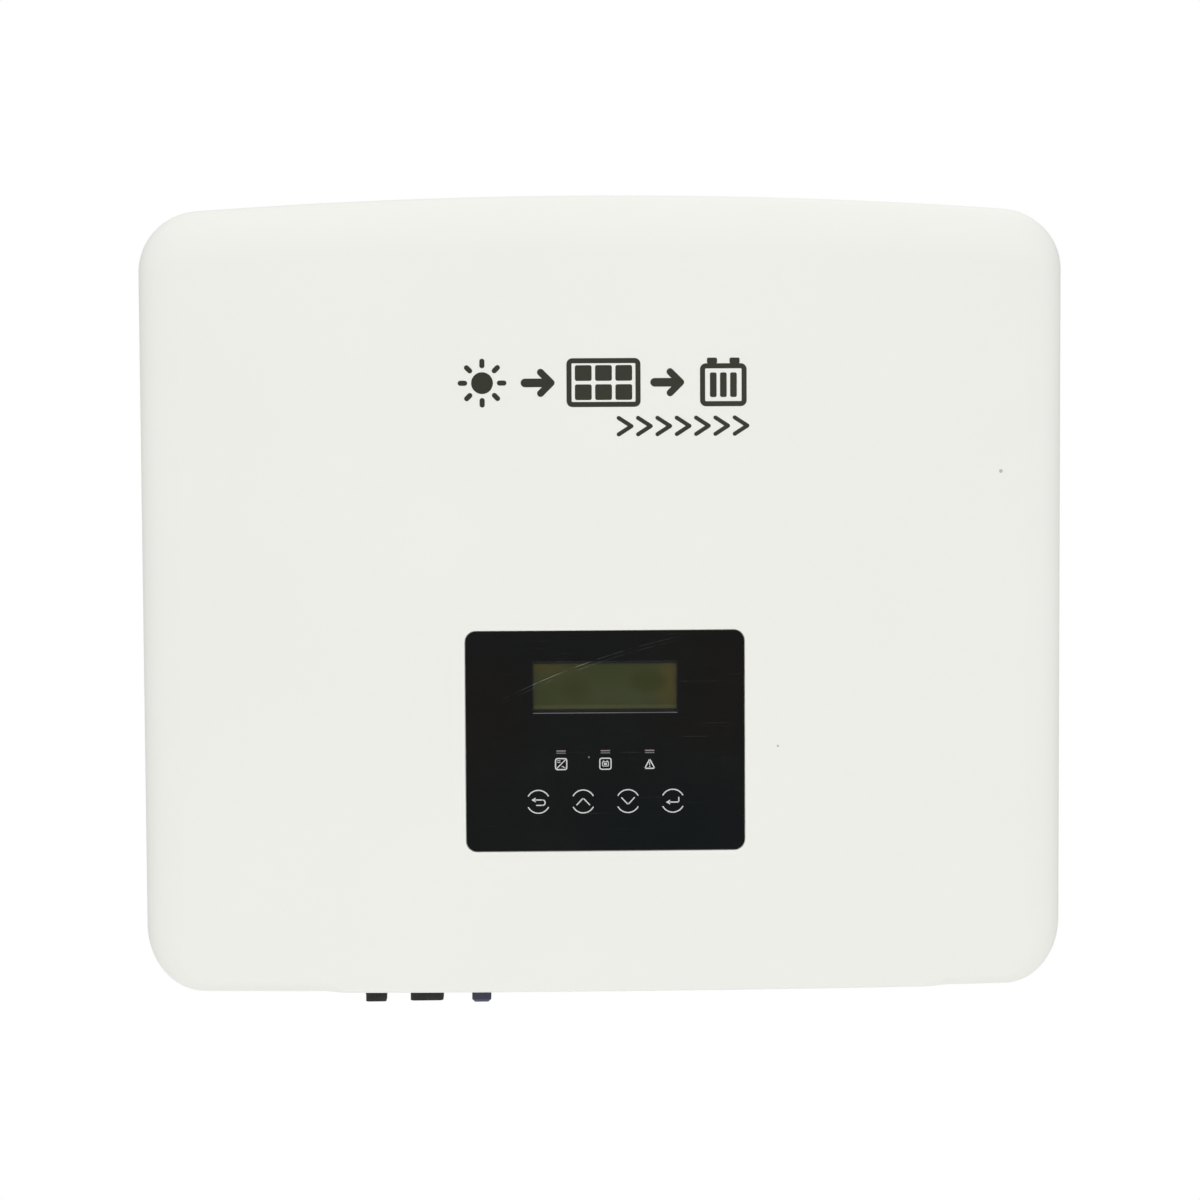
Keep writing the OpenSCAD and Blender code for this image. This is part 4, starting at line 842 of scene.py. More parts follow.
class CoverShape:
    """The cover's outline and its rings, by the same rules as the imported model's cover."""

    def __init__(self, sizes):
        self.s = sizes
        self.half = COVER_HIGH.x
        self.low, self.high = COVER_LOW.z, COVER_HIGH.z
        self.front, self.back = COVER_LOW.y, COVER_HIGH.y
        self.corner_x = self.half - sizes.corner_radius
        self.arch_angle = math.atan(2 * sizes.top_arch * self.corner_x / self.half ** 2)
        self.arch_end = self.corner_x + sizes.corner_radius * math.sin(self.arch_angle)
        self.top_corner = self.arch_z(self.arch_end) - sizes.corner_radius * math.cos(
            self.arch_angle)
        self.low_corner = self.low + sizes.corner_radius
        self.notch = (-self.half + sizes.notch_left, self.half - sizes.notch_right)
        self.points = self.outline()

    def arch_z(self, x):
        return self.high - self.s.top_arch * (x / self.half) ** 2

    def bow(self, x):
        return self.front + INK + self.s.front_bow * (x / self.half) ** 2

    def low_round(self, x):
        out = max(self.notch[0] - x, x - self.notch[1], 0.0)
        return blend(self.s.bare_edge, self.s.low_round, out / self.s.edge_fade)

    def outline(self):
        """The places round the outline, with their outward ways and edge radii.

        The two ends of the notch stand twice, once in the notch and once beside it.
        """
        s, cx = self.s, self.corner_x
        left, right = self.notch
        fade = s.edge_fade
        spans = [(-cx, left - fade, 4, False), (left - fade, left, 12, False),
                 (left, right, 44, True), (right, right + fade, 12, False),
                 (right + fade, cx, 3, False)]
        places = []
        for a, b, count, open_below in spans:
            steps = [a + (b - a) * i / count for i in range(count)]
            if open_below or a == left - fade:
                steps.append(b)
            for x in steps:
                places.append(Place(
                    x, self.low, 0, -1, self.low_round(x), open_below, "low", x / cx))

        def corner(side, z, start, end, radii, part):
            for i in range(CORNER_STEPS):
                t = i / CORNER_STEPS
                a = math.radians(start + (end - start) * t)
                places.append(Place(
                    side * (cx + s.corner_radius * math.cos(a)), z + s.corner_radius * math.sin(a),
                    side * math.cos(a), math.sin(a), blend(*radii, t), False, part, t))

        top = 90 - math.degrees(self.arch_angle)
        corner(1, self.low_corner, -90, 0, (s.low_round, s.side_round), "low right")
        for i in range(SIDE_STEPS):
            t = i / SIDE_STEPS
            z = self.low_corner + (self.top_corner - self.low_corner) * t
            places.append(Place(self.half, z, 1, 0, s.side_round, False, "right", t))
        corner(1, self.top_corner, 0, top, (s.side_round, s.top_round), "top right")
        for i in range(TOP_STEPS):
            x = self.arch_end * (1 - 2 * i / TOP_STEPS)
            slope = 2 * s.top_arch * x / self.half ** 2
            k = 1 / math.sqrt(1 + slope * slope)
            places.append(Place(
                x, self.arch_z(x), slope * k, k, s.top_round, False, "top", x / self.arch_end))
        corner(-1, self.top_corner, top, 0, (s.top_round, s.side_round), "top left")
        for i in range(SIDE_STEPS):
            t = i / SIDE_STEPS
            z = self.top_corner + (self.low_corner - self.top_corner) * t
            places.append(Place(-self.half, z, -1, 0, s.side_round, False, "left", 1 - t))
        corner(-1, self.low_corner, 0, -90, (s.side_round, s.low_round), "low left")
        return places

    def rim(self, wall, pull=0.0, inset=0.0):
        """The back edge, or the notch's front edge where the notch is."""
        lip = self.bow(self.half) + self.s.notch_lip - self.s.front_bow
        ring = []
        for p in self.points:
            y = (lip if p.notch else self.back) - pull
            ring.append((p.x - p.out_x * (wall + inset), y, p.z - p.out_z * (wall + inset)))
        return ring

    def edge(self, turn, wall):
        """A ring round the rounded edge: 0 degrees at the side and 90 on the face."""
        turn = math.radians(turn)
        ring = []
        for p in self.points:
            r = max(p.radius - wall, 0.3 * MM)
            inset = wall + r * (1 - math.cos(turn))
            x = p.x - p.out_x * inset
            y = self.bow(x) + wall + r * (1 - math.sin(turn))
            ring.append((x, y, p.z - p.out_z * inset))
        return ring

    def frame(self, width, height, radius, middle, y=None, wall=0.0, sink=0.0):
        """A round-cornered rectangle whose places answer to the outline's."""
        w, h = width / 2 - radius, height / 2 - radius
        ring = []
        corners = {"low right": (1, -1, -90, 0), "top right": (1, 1, 0, 90),
                   "top left": (-1, 1, 90, 180), "low left": (-1, -1, 180, 270)}
        for p in self.points:
            part, t = p.part, p.share
            if part in corners:
                sx, sz, a, b = corners[part]
                turn = math.radians(a + (b - a) * t)
                x, z = sx * w + radius * math.cos(turn), sz * h + radius * math.sin(turn)
            elif part in ("low", "top"):
                x, z = t * w, (-1 if part == "low" else 1) * (h + radius)
            else:
                x, z = (1 if part == "right" else -1) * (w + radius), h * (2 * t - 1)
            ring.append((x, self.bow(x) + wall + sink if y is None else y, middle + z))
        return ring

    def between(self, start, end, count, wall):
        """Rings across the bowed face from one ring towards another."""
        rings = []
        for i in range(1, count):
            t = i / count
            ring = []
            for a, b in zip(start, end):
                x, z = a[0] + (b[0] - a[0]) * t, a[2] + (b[2] - a[2]) * t
                ring.append((x, self.bow(x) + wall, z))
            rings.append(ring)
        return rings


def loft(bm, rings):
    """Extrudes one closed loop of edges from ring to ring."""
    made = bmesh.ops.create_circle(bm, cap_ends=False, radius=1.0, segments=len(rings[0]))
    loop = made["verts"]
    edges = list({e for v in loop for e in v.link_edges})
    for vert, place in zip(loop, rings[0]):
        vert.co = place
    for ring in rings[1:]:
        order = {v: i for i, v in enumerate(loop)}
        geom = bmesh.ops.extrude_edge_only(bm, edges=edges)["geom"]
        fresh = {v for v in geom if isinstance(v, bmesh.types.BMVert)}
        edges = [e for e in geom if isinstance(e, bmesh.types.BMEdge)
                 and all(v in fresh for v in e.verts)]
        loop = [None] * len(ring)
        for vert in fresh:
            for edge in vert.link_edges:
                other = edge.other_vert(vert)
                if other in order:
                    loop[order[other]] = vert
        for vert, place in zip(loop, ring):
            vert.co = place


class INVERTER_OT_cover(bpy.types.Operator):
    """Builds the moulded cover with its rebate, its notch and its inner side"""

    bl_idname = "inverter.cover"
    bl_label = "Cover"

    def execute(self, context):
        s, d = context.scene.inverter_cover, context.scene.inverter_display
        shape = CoverShape(s)
        middle = (PANEL_LOW.z + PANEL_HIGH.z) / 2
        w, h = PANEL_HIGH.x - PANEL_LOW.x, PANEL_HIGH.z - PANEL_LOW.z
        floor = PANEL_HIGH.y
        pad_back = COVER_LOW.y + s.wall + 2 * MM
        rebate = (w + 2 * d.fit, h + 2 * d.fit, d.corner_radius + d.fit, middle)
        window = (w - 2 * d.ledge, h - 2 * d.ledge, d.corner_radius - 1 * MM, middle)
        pad = (w + 8 * MM, h + 8 * MM, d.corner_radius + 4 * MM, middle)
        lip = 0.35 * MM
        rim = 0.5 * MM
        outer = shape.edge(90, 0)
        around = shape.frame(rebate[0] + 2 * lip, rebate[1] + 2 * lip, rebate[2] + lip, middle)
        rings = [shape.rim(0, 0, rim), shape.rim(0, 0.15 * MM, 0.15 * MM), shape.rim(0, rim, 0)]
        rings += [shape.edge(turn, 0) for turn in range(0, 90, 6)] + [outer]
        rings += shape.between(outer, around, FACE_STEPS, 0) + [around]
        rings.append(shape.frame(rebate[0] + 0.6 * lip, rebate[1] + 0.6 * lip,
                                 rebate[2] + 0.3 * lip, middle, sink=0.3 * lip))
        rings.append(shape.frame(*rebate, sink=lip))
        rings.append(shape.frame(*rebate, y=floor))
        rings.append(shape.frame(*window, y=floor))
        rings.append(shape.frame(*window, y=pad_back))
        rings.append(shape.frame(*pad, y=pad_back))
        inner_pad = shape.frame(*pad, wall=s.wall)
        inner = shape.edge(90, s.wall)
        rings.append(inner_pad)
        rings += shape.between(inner_pad, inner, FACE_STEPS, s.wall) + [inner]
        rings += [shape.edge(turn, s.wall) for turn in range(75, -1, -15)]
        rings += [shape.rim(s.wall), shape.rim(0, 0, rim)]
        bm = bmesh.new()
        loft(bm, rings)
        cover = settle(bm, "moulded_cover", "inverter", ["front_cover"],
                       finish("cover_white"), 38.0)
        holes = bmesh.new()
        y, = lines_of("cover_screws", 1)
        for z in lines_of("cover_screws", 2):
            for side in (-1, 1):
                sink = turned([(0, -5 * MM), (2.2 * MM, -5 * MM), (2.2 * MM, -2 * MM),
                               (4.05 * MM, -0.05 * MM), (4.3 * MM, 1 * MM), (0, 1 * MM)], 32)
                turn = Matrix.Rotation(side * math.pi / 2, 4, "Y")
                join(holes, sink, Matrix.Translation((side * shape.half, y, z)) @ turn)
        drilled(cover, holes)
        return {"FINISHED"}


class INVERTER_OT_cover_print(bpy.types.Operator):
    """Prints a plain row of energy icons and a row of chevrons on the cover"""

    bl_idname = "inverter.cover_print"
    bl_label = "Cover print"

    def execute(self, context):
        shape = CoverShape(context.scene.inverter_cover)
        bm = bmesh.new()

        def put(part, x, z):
            join(bm, part, Matrix.Translation((x, z, 0)))

        row, low_row = 315.4 * MM, 293.0 * MM
        sun, battery = -62.3 * MM, 61.6 * MM
        line = 2.6 * MM
        put(disc((0, 0), 5.6 * MM, INK), sun, row)
        for i in range(8):
            way = Vector((math.cos(i * math.pi / 4), math.sin(i * math.pi / 4)))
            put(bar(way * 8.9 * MM, way * 11.2 * MM, line, INK), sun, row)
        for x in (-33.5 * MM, 33.0 * MM):
            put(bar((-6.8 * MM, 0), (4 * MM, 0), 4.4 * MM, INK), x, row)
            for z in (5.4 * MM, -5.4 * MM):
                put(bar((1.2 * MM, z), (6.6 * MM, 0), 3.6 * MM, INK), x, row)
        put(hoop((0, 0), 38 * MM, 25 * MM, 3 * MM, line, INK), 0, row)
        for x in (-10.4 * MM, 0, 10.4 * MM):
            for z in (-4.9 * MM, 4.9 * MM):
                put(patch((x, z), 8.6 * MM, 8.0 * MM, 1 * MM, INK), 0, row)
        put(hoop((0, -1.4 * MM), 24 * MM, 22 * MM, 3 * MM, line, INK), battery, row)
        for x in (-5.8 * MM, 5.8 * MM):
            put(patch((x, 11 * MM), 5.2 * MM, 3.0 * MM, 0.8 * MM, INK), battery, row)
        for x in (-5.2 * MM, 0, 5.2 * MM):
            put(patch((x, -1.4 * MM), 3.4 * MM, 12.6 * MM, 0.9 * MM, INK), battery, row)
        for i in range(7):
            x = (10.6 + 9.95 * i) * MM
            for z in (4.2 * MM, -4.2 * MM):
                put(bar((-2.9 * MM, z), (3.6 * MM, 0), 2.1 * MM, INK), x, low_row)
        for vert in bm.verts:
            x, rise, proud = vert.co
            vert.co = (x, shape.bow(x) - (proud if proud > INK / 2 else -INK), COVER_LOW.z + rise)
        settle(bm, "cover_print", "inverter", [], finish("print_dark"))
        return {"FINISHED"}


# ---------------------------------------------------------------- display

def cut_sheet(width, height, radius, holes, low, high):
    """A round-cornered sheet with rectangular openings given as (x0, x1, y0, y1)."""
    bm = sheet(width, height, radius, 8)
    for way, places in ((Vector((1, 0, 0)), {p for hole in holes for p in hole[:2]}),
                        (Vector((0, 1, 0)), {p for hole in holes for p in hole[2:]})):
        for place in sorted(places):
            bmesh.ops.bisect_plane(bm, geom=bm.verts[:] + bm.edges[:] + bm.faces[:], dist=1e-7,
                                   plane_co=way * place, plane_no=way)
    gone = []
    for face in bm.faces:
        c = face.calc_center_median()
        if any(x0 < c.x < x1 and y0 < c.y < y1 for x0, x1, y0, y1 in holes):
            gone.append(face)
    bmesh.ops.delete(bm, geom=gone, context="FACES")
    thicken(bm, low, high)
    return bm


def panel_frame():
    return facing(PANEL_HIGH.y, (PANEL_LOW.z + PANEL_HIGH.z) / 2)


class INVERTER_OT_display(bpy.types.Operator):
    """Builds the glossy panel, the clear window and the status lights, whose ribs carry painted
    highlight and painted shade
    """

    bl_idname = "inverter.display"
    bl_label = "Display panel"

    def execute(self, context):
        d = context.scene.inverter_display
        middle = (PANEL_LOW.z + PANEL_HIGH.z) / 2
        w, h = PANEL_HIGH.x - PANEL_LOW.x, PANEL_HIGH.z - PANEL_LOW.z
        thick = PANEL_HIGH.y - PANEL_LOW.y
        lights_low, lights_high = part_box("light_pipes")
        half_light = lights_high.x - d.light_pitch
        holes = [(WINDOW_LOW.x, WINDOW_HIGH.x, WINDOW_LOW.z - middle, WINDOW_HIGH.z - middle)]
        places = [i * d.light_pitch for i in (-1, 0, 1)]
        for x in places:
            holes.append((x - half_light, x + half_light, lights_low.z - middle,
                          lights_high.z - middle))
        bm = cut_sheet(w, h, d.corner_radius, holes, 0, thick)
        soften(bm, 0.22 * MM, 3, 60.0)
        bmesh.ops.transform(bm, matrix=panel_frame(), verts=bm.verts)
        settle(bm, "gloss_panel", "inverter", ["display_panel"],
               finish("panel_black"))

        width = WINDOW_HIGH.x - WINDOW_LOW.x - 0.06 * MM
        height = WINDOW_HIGH.z - WINDOW_LOW.z - 0.06 * MM
        bm = plate(width, height - 0.4 * MM, 0.2 * MM, 0.1 * MM, thick - 0.03 * MM, 3)
        soften(bm, 0.05 * MM, 1, 60.0)
        bmesh.ops.transform(
            bm, matrix=facing(PANEL_HIGH.y, (WINDOW_LOW.z + WINDOW_HIGH.z) / 2 + 0.2 * MM),
            verts=bm.verts)
        settle(bm, "clear_window", "inverter", ["lcd_window"],
               finish("window_clear"))

        bm = bmesh.new()
        highlight_ribs, shaded_ribs, seal = bmesh.new(), bmesh.new(), bmesh.new()
        long = lights_high.y - lights_low.y
        tall = lights_high.z - lights_low.z
        z = (lights_low.z + lights_high.z) / 2
        for x in places:
            guide = plate(2 * half_light - 0.05 * MM, tall - 0.05 * MM, 0.2 * MM, 0,
                          long - 0.45 * MM, 2)
            join(bm, guide, facing(lights_high.y, z) @ Matrix.Translation((x, 0, 0)))
            # two like ribs per light: the upper one gets a painted highlight, the lower one painted
            # shade
            for up, thick_rib in ((0.58, 0.52), (-0.58, 0.48)):
                rib = plate(2 * half_light - 0.3 * MM, thick_rib * MM, 0.2 * MM, long - 0.5 * MM,
                            long - 0.06 * MM, 3)
                soften(rib, 0.06 * MM, 1, 60.0)
                join(highlight_ribs if up > 0 else shaded_ribs, rib,
                     facing(lights_high.y, z) @ Matrix.Translation((x, up * MM, 0)))
        settle(bm, "status_lights", "inverter", ["light_pipes"],
               finish("smoke_grey"))
        # painted highlight on the upper ribs and painted shade on the lower ribs
        settle(highlight_ribs, "status_light_ribs_painted_highlight", "inverter", [], finish("painted_highlight_rose_grey"))
        settle(shaded_ribs, "status_light_low_ribs_painted_shade", "inverter", [], finish("light_grey"))
        line = plate(width - 0.4 * MM, 0.3 * MM, 0.1 * MM, 0, thick - 0.02 * MM, 3)
        join(seal, line, facing(PANEL_HIGH.y, WINDOW_LOW.z + 0.22 * MM))
        settle(seal, "window_seal", "inverter", [], finish("seal_grey"))
        return {"FINISHED"}


class INVERTER_OT_panel_print(bpy.types.Operator):
    """Prints the icons and the touch keys on the panel"""

    bl_idname = "inverter.panel_print"
    bl_label = "Panel print"

    def execute(self, context):
        d = context.scene.inverter_display
        s, t = d.stroke, 0.04 * MM
        bm = bmesh.new()
        top = PANEL_HIGH.y - PANEL_LOW.y

        def put(part, x, z):
            join(bm, part, panel_frame() @ Matrix.Translation((x, z, top)))

        icons = -d.icon_drop
        left, right = -d.light_pitch, d.light_pitch
        for x in (left, 0):
            put(hoop((0, 0), 6.4 * MM, 6.3 * MM, 1.3 * MM, s, t), x, icons)
        put(bar((-2.1 * MM, -2.1 * MM), (2.1 * MM, 2.1 * MM), s * 0.85, t), left, icons)
        for z in (1.75, 0.85):
            put(bar((-1.9 * MM, z * MM), (-0.45 * MM, z * MM), s * 0.5, t), left, icons)
        put(arc((0.75 * MM, -1.55 * MM), 0.42 * MM, 0, 180, s * 0.5, t, 8), left, icons)
        put(arc((1.6 * MM, -1.55 * MM), 0.42 * MM, 180, 360, s * 0.5, t, 8), left, icons)
        put(hoop((0, -0.1 * MM), 3.5 * MM, 2.5 * MM, 0.5 * MM, s * 0.6, t), 0, icons)
        for x in (-0.95, 0.95):
            put(patch((x * MM, 1.35 * MM), 0.8 * MM, 0.5 * MM, 0.1 * MM, t), 0, icons)
        put(patch((0, -0.1 * MM), 1.7 * MM, 0.9 * MM, 0.2 * MM, t), 0, icons)
        corners = [(-2.55 * MM, -2.55 * MM), (2.55 * MM, -2.55 * MM), (0, 2.3 * MM)]
        for a, b in zip(corners, corners[1:] + corners[:1]):
            put(bar(a, b, s, t), right, icons)
        put(bar((0, 0.75 * MM), (0, -0.75 * MM), s * 0.75, t), right, icons)
        put(disc((0, -1.65 * MM), 0.33 * MM, t, 16), right, icons)

        keys = -d.key_drop
        places = [i * d.key_pitch for i in (-1.5, -0.5, 0.5, 1.5)]
        for x in places:
            for start in (28, 208):
                put(arc((0, 0), 5.95 * MM, start, start + 124, s, t, 28), x, keys)
        back, up, down, enter = places
        put(bar((-1.6 * MM, 0.95 * MM), (2.1 * MM, 0.95 * MM), s, t), back, keys)
        put(arc((2.1 * MM, -0.45 * MM), 1.4 * MM, -90, 90, s, t, 12), back, keys)
        put(bar((2.1 * MM, -1.85 * MM), (-0.9 * MM, -1.85 * MM), s, t), back, keys)
        put(disc((-2.15 * MM, 0.95 * MM), 1.45 * MM, t, 3, 90), back, keys)
        for key, rise in ((up, 1.75 * MM), (down, -1.75 * MM)):
            for x in (-3.3 * MM, 3.3 * MM):
                put(bar((x, -rise), (0, rise), s, t), key, keys)
        put(bar((-1.7 * MM, -0.7 * MM), (3.1 * MM, -0.7 * MM), s, t), enter, keys)
        put(bar((3.1 * MM, -0.7 * MM), (3.1 * MM, 1.7 * MM), s, t), enter, keys)
        put(disc((-2.15 * MM, -0.7 * MM), 1.45 * MM, t, 3, 90), enter, keys)
        settle(bm, "panel_print", "inverter", [], finish("print_light"))
        return {"FINISHED"}


# ---------------------------------------------------------------- underside

def octagon_bar(width, depth, cut, low, high):
    """A bar with its four long edges cut at 45 degrees."""
    return plate(width, depth, cut, low, high, 1)


def at_corners(bm, profile, x, y, height, matrix=Matrix()):
    """A turned shape at each of the four corners x and y away from the middle."""
    for side in (-1, 1):
        for end in (-1, 1):
            join(bm, turned(profile, 24),
                 matrix @ Matrix.Translation((side * x, end * y, height)))


def at_rim(turn, radius, height):
    """A frame on a cylinder's side whose +Z points outwards."""
    return Matrix.Rotation(turn, 4, "Z") @ Matrix.Translation(
        (radius, 0, height)) @ Matrix.Rotation(math.pi / 2, 4, "Y")


class INVERTER_OT_sockets(bpy.types.Operator):
    """Builds the solar and battery sockets with their grips and bores"""

    bl_idname = "inverter.sockets"
    bl_label = "Sockets"

    def execute(self, context):
        black = finish("black_plastic")
        # width, depth, cut corner, bore radius, length and bore depth, in millimetres
        kinds = {
            "pv_plus_sockets": (11.6, 11.6, 1.0, 4.0, 22.8, 14.8),
            "pv_minus_sockets": (18.2, 15.0, 1.5, 6.3, 22.2, 14.2),
            "battery_sockets": (8.8, 8.8, None, 3.0, BATTERY_NOSE, 11.4),
        }
        for node, (w, depth, cut, bore, long, deep) in kinds.items():
            bm = bmesh.new()
            x = lines_of(node, 0)[0]
            for y in lines_of(node, 1):
                place = below_at(x, y)
                root = turned([(0, -14 * MM), (7 * MM, -14 * MM), (7 * MM, 0), (10.5 * MM, 0),
                               (10.5 * MM, 2.2 * MM), (9.7 * MM, 3 * MM), (0, 3 * MM)], 48)
                soften(root, 0.2 * MM, 2)
                join(bm, root, place)
                if cut is None:
                    nose = turned([
                        (0, 2.9 * MM), (w / 2 * MM, 2.9 * MM), (w / 2 * MM, long * MM),
                        (bore * MM, long * MM), (bore * MM, (long - deep) * MM),
                        (0, (long - deep) * MM)], 48)
                    soften(nose, 0.3 * MM, 3, 60.0)
                    join(bm, nose, place)
                    continue
                slim = 0.35  # how far the ribs and clips stand proud of the bar
                nose = octagon_bar((w - 2 * slim) * MM, (depth - 2 * slim) * MM, cut * MM,
                                   2.9 * MM, long * MM)
                bored(nose, long * MM, bore * MM, deep * MM)
                soften(nose, 0.35 * MM, 2, 50.0)
                join(bm, nose, place)
                ribs = int((w - 2 * cut - 1.2) / 1.7)
                for side in (-1, 1):
                    for i in range(ribs):
                        along = (i - (ribs - 1) / 2) * 1.7 * MM
                        rib = plate(0.85 * MM, (long - 8.0) * MM, 0.4 * MM, -0.1 * MM,
                                    (slim - 0.02) * MM, 3)
                        turn = Matrix.Rotation(-side * math.pi / 2, 4, "X")
                        spot = Matrix.Translation((
                            along, side * (depth / 2 - slim) * MM, (long + 4.6) / 2 * MM))
                        join(bm, rib, place @ spot @ turn)
                for side in (-1, 1):
                    clip = plate(4.4 * MM, 3.2 * MM, 0.5 * MM, -0.1 * MM, (slim - 0.02) * MM, 3)
                    turn = Matrix.Rotation(side * math.pi / 2, 4, "Y")
                    spot = Matrix.Translation((side * (w / 2 - slim) * MM, 0, (long - 5.5) * MM))
                    join(bm, clip, place @ spot @ turn)
            settle(bm, node.replace("_sockets", "_socket_pair"), "inverter", [node],
                   black)
        return {"FINISHED"}


class INVERTER_OT_dust_caps(bpy.types.Operator):
    """Builds the dust caps of the battery sockets"""

    bl_idname = "inverter.dust_caps"
    bl_label = "Dust caps"

    def execute(self, context):
        for node in ("battery_plus_cap", "battery_minus_cap"):
            low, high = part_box(node)
            w = high.x - low.x
            slim = 0.3 * MM
            tall = high.z - low.z
            bm = octagon_bar(w - 2 * slim, w - 2 * slim, 1.1 * MM, 0, tall)
            end = [e for e in bm.edges if all(v.co.z > tall - 1e-6 for v in e.verts)]
            bmesh.ops.bevel(bm, geom=end, offset=1.5 * MM, offset_type="OFFSET", segments=1,
                            profile=0.5, affect="EDGES", clamp_overlap=True, material=-1)
            bmesh.ops.scale(bm, vec=(1, 1, -1), verts=bm.verts)
            bmesh.ops.recalc_face_normals(bm, faces=bm.faces)
            room = 1  # between the socket's end and the bore's floor, in millimetres
            bored(bm, 0.0, 4.46 * MM, (BATTERY_NOSE + room - (TUB_LOW.z - high.z) / MM) * MM)
            bmesh.ops.scale(bm, vec=(1, 1, -1), verts=bm.verts)
            bmesh.ops.recalc_face_normals(bm, faces=bm.faces)
            soften(bm, 0.3 * MM, 2, 30.0)
            rings = bmesh.new()
            for i in range(3):
                band = octagon_bar(w, w, 1.2 * MM, (2.2 + 2.2 * i) * MM, (3.2 + 2.2 * i) * MM)
                sides = [f for f in band.faces if abs(f.normal.z) > 0.9]
                bmesh.ops.inset_individual(band, faces=sides, thickness=0.45 * MM)
                bmesh.ops.delete(band, geom=sides, context="FACES")
                join(rings, band)
            join(bm, rings)
            for vert in bm.verts:
                vert.co = (vert.co.x + (low.x + high.x) / 2, vert.co.y + (low.y + high.y) / 2,
                           high.z - vert.co.z)
            settle(bm, node + "_moulded", node, [node], finish("cap_blue"), 30.0)
        return {"FINISHED"}


class INVERTER_OT_isolator(bpy.types.Operator):
    """Builds the isolator's plate with its marks and its turning knob"""

    bl_idname = "inverter.isolator"
    bl_label = "Isolator"

    def execute(self, context):
        refined("isolator_base", "inverter", ["isolator_plate"],
                finish("grey_plastic"), 0.4 * MM)
        place = below("isolator_knob")
        base = TUB_LOW.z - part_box("isolator_plate")[0].z
        face = place @ Matrix.Translation((0, 0, base))
        reach, thick = 18.4 * MM, 0.06 * MM
        bm = bmesh.new()
        join(bm, hoop((0, reach), 2.6 * MM, 2.8 * MM, 1.2 * MM, 0.45 * MM, thick), face)
        join(bm, bar((reach, -1.1 * MM), (reach, 1.1 * MM), 0.5 * MM, thick), face)
        join(bm, arc((0, 0), reach, 14, 76, 0.35 * MM, thick, 20), face)
        settle(bm, "isolator_marks", "inverter", [], finish("print_light"))
        bm = bmesh.new()
        head = [(0, 0), (1.7 * MM, 0), (1.5 * MM, 0.5 * MM), (0.6 * MM, 0.7 * MM),
                (0.6 * MM, 0.3 * MM), (0, 0.3 * MM)]
        at_corners(bm, head, 17.6 * MM, 17.6 * MM, base, place)
        settle(bm, "isolator_screws", "inverter", [], finish("steel"))

        low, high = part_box("isolator_knob")
        start, end = TUB_LOW.z - high.z, TUB_LOW.z - low.z
        bm = turned([(4 * MM, start), (16 * MM, start), (16 * MM, start + 3.6 * MM),
                     (14.6 * MM, start + 5 * MM), (0, start + 5 * MM), (0, start + 4.9 * MM),
                     (4 * MM, start + 4.9 * MM)], 64, closed=False)
        grip = plate(9 * MM, 29 * MM, 3 * MM, start + 4.8 * MM, end, 8)
        soften(grip, 1.1 * MM, 4, 60.0)
        join(bm, grip)
        for i in range(24):
            rib = plate(1.2 * MM, 3.0 * MM, 0.5 * MM, -0.2 * MM, 0.0, 3)
            join(bm, rib, at_rim(math.tau * i / 24, 15.99 * MM, start + 1.9 * MM))
        bmesh.ops.transform(bm, matrix=place, verts=bm.verts)
        settle(bm, "isolator_grip", "knob", ["isolator_knob"],
               finish("black_plastic"))
        bm = bmesh.new()
        line = bar((0, 5 * MM), (0, 12 * MM), 1.2 * MM, 0.04 * MM)
        join(bm, line, place @ Matrix.Translation((0, 0, end)))
        settle(bm, "isolator_pointer", "knob", [], finish("print_light"))
        return {"FINISHED"}


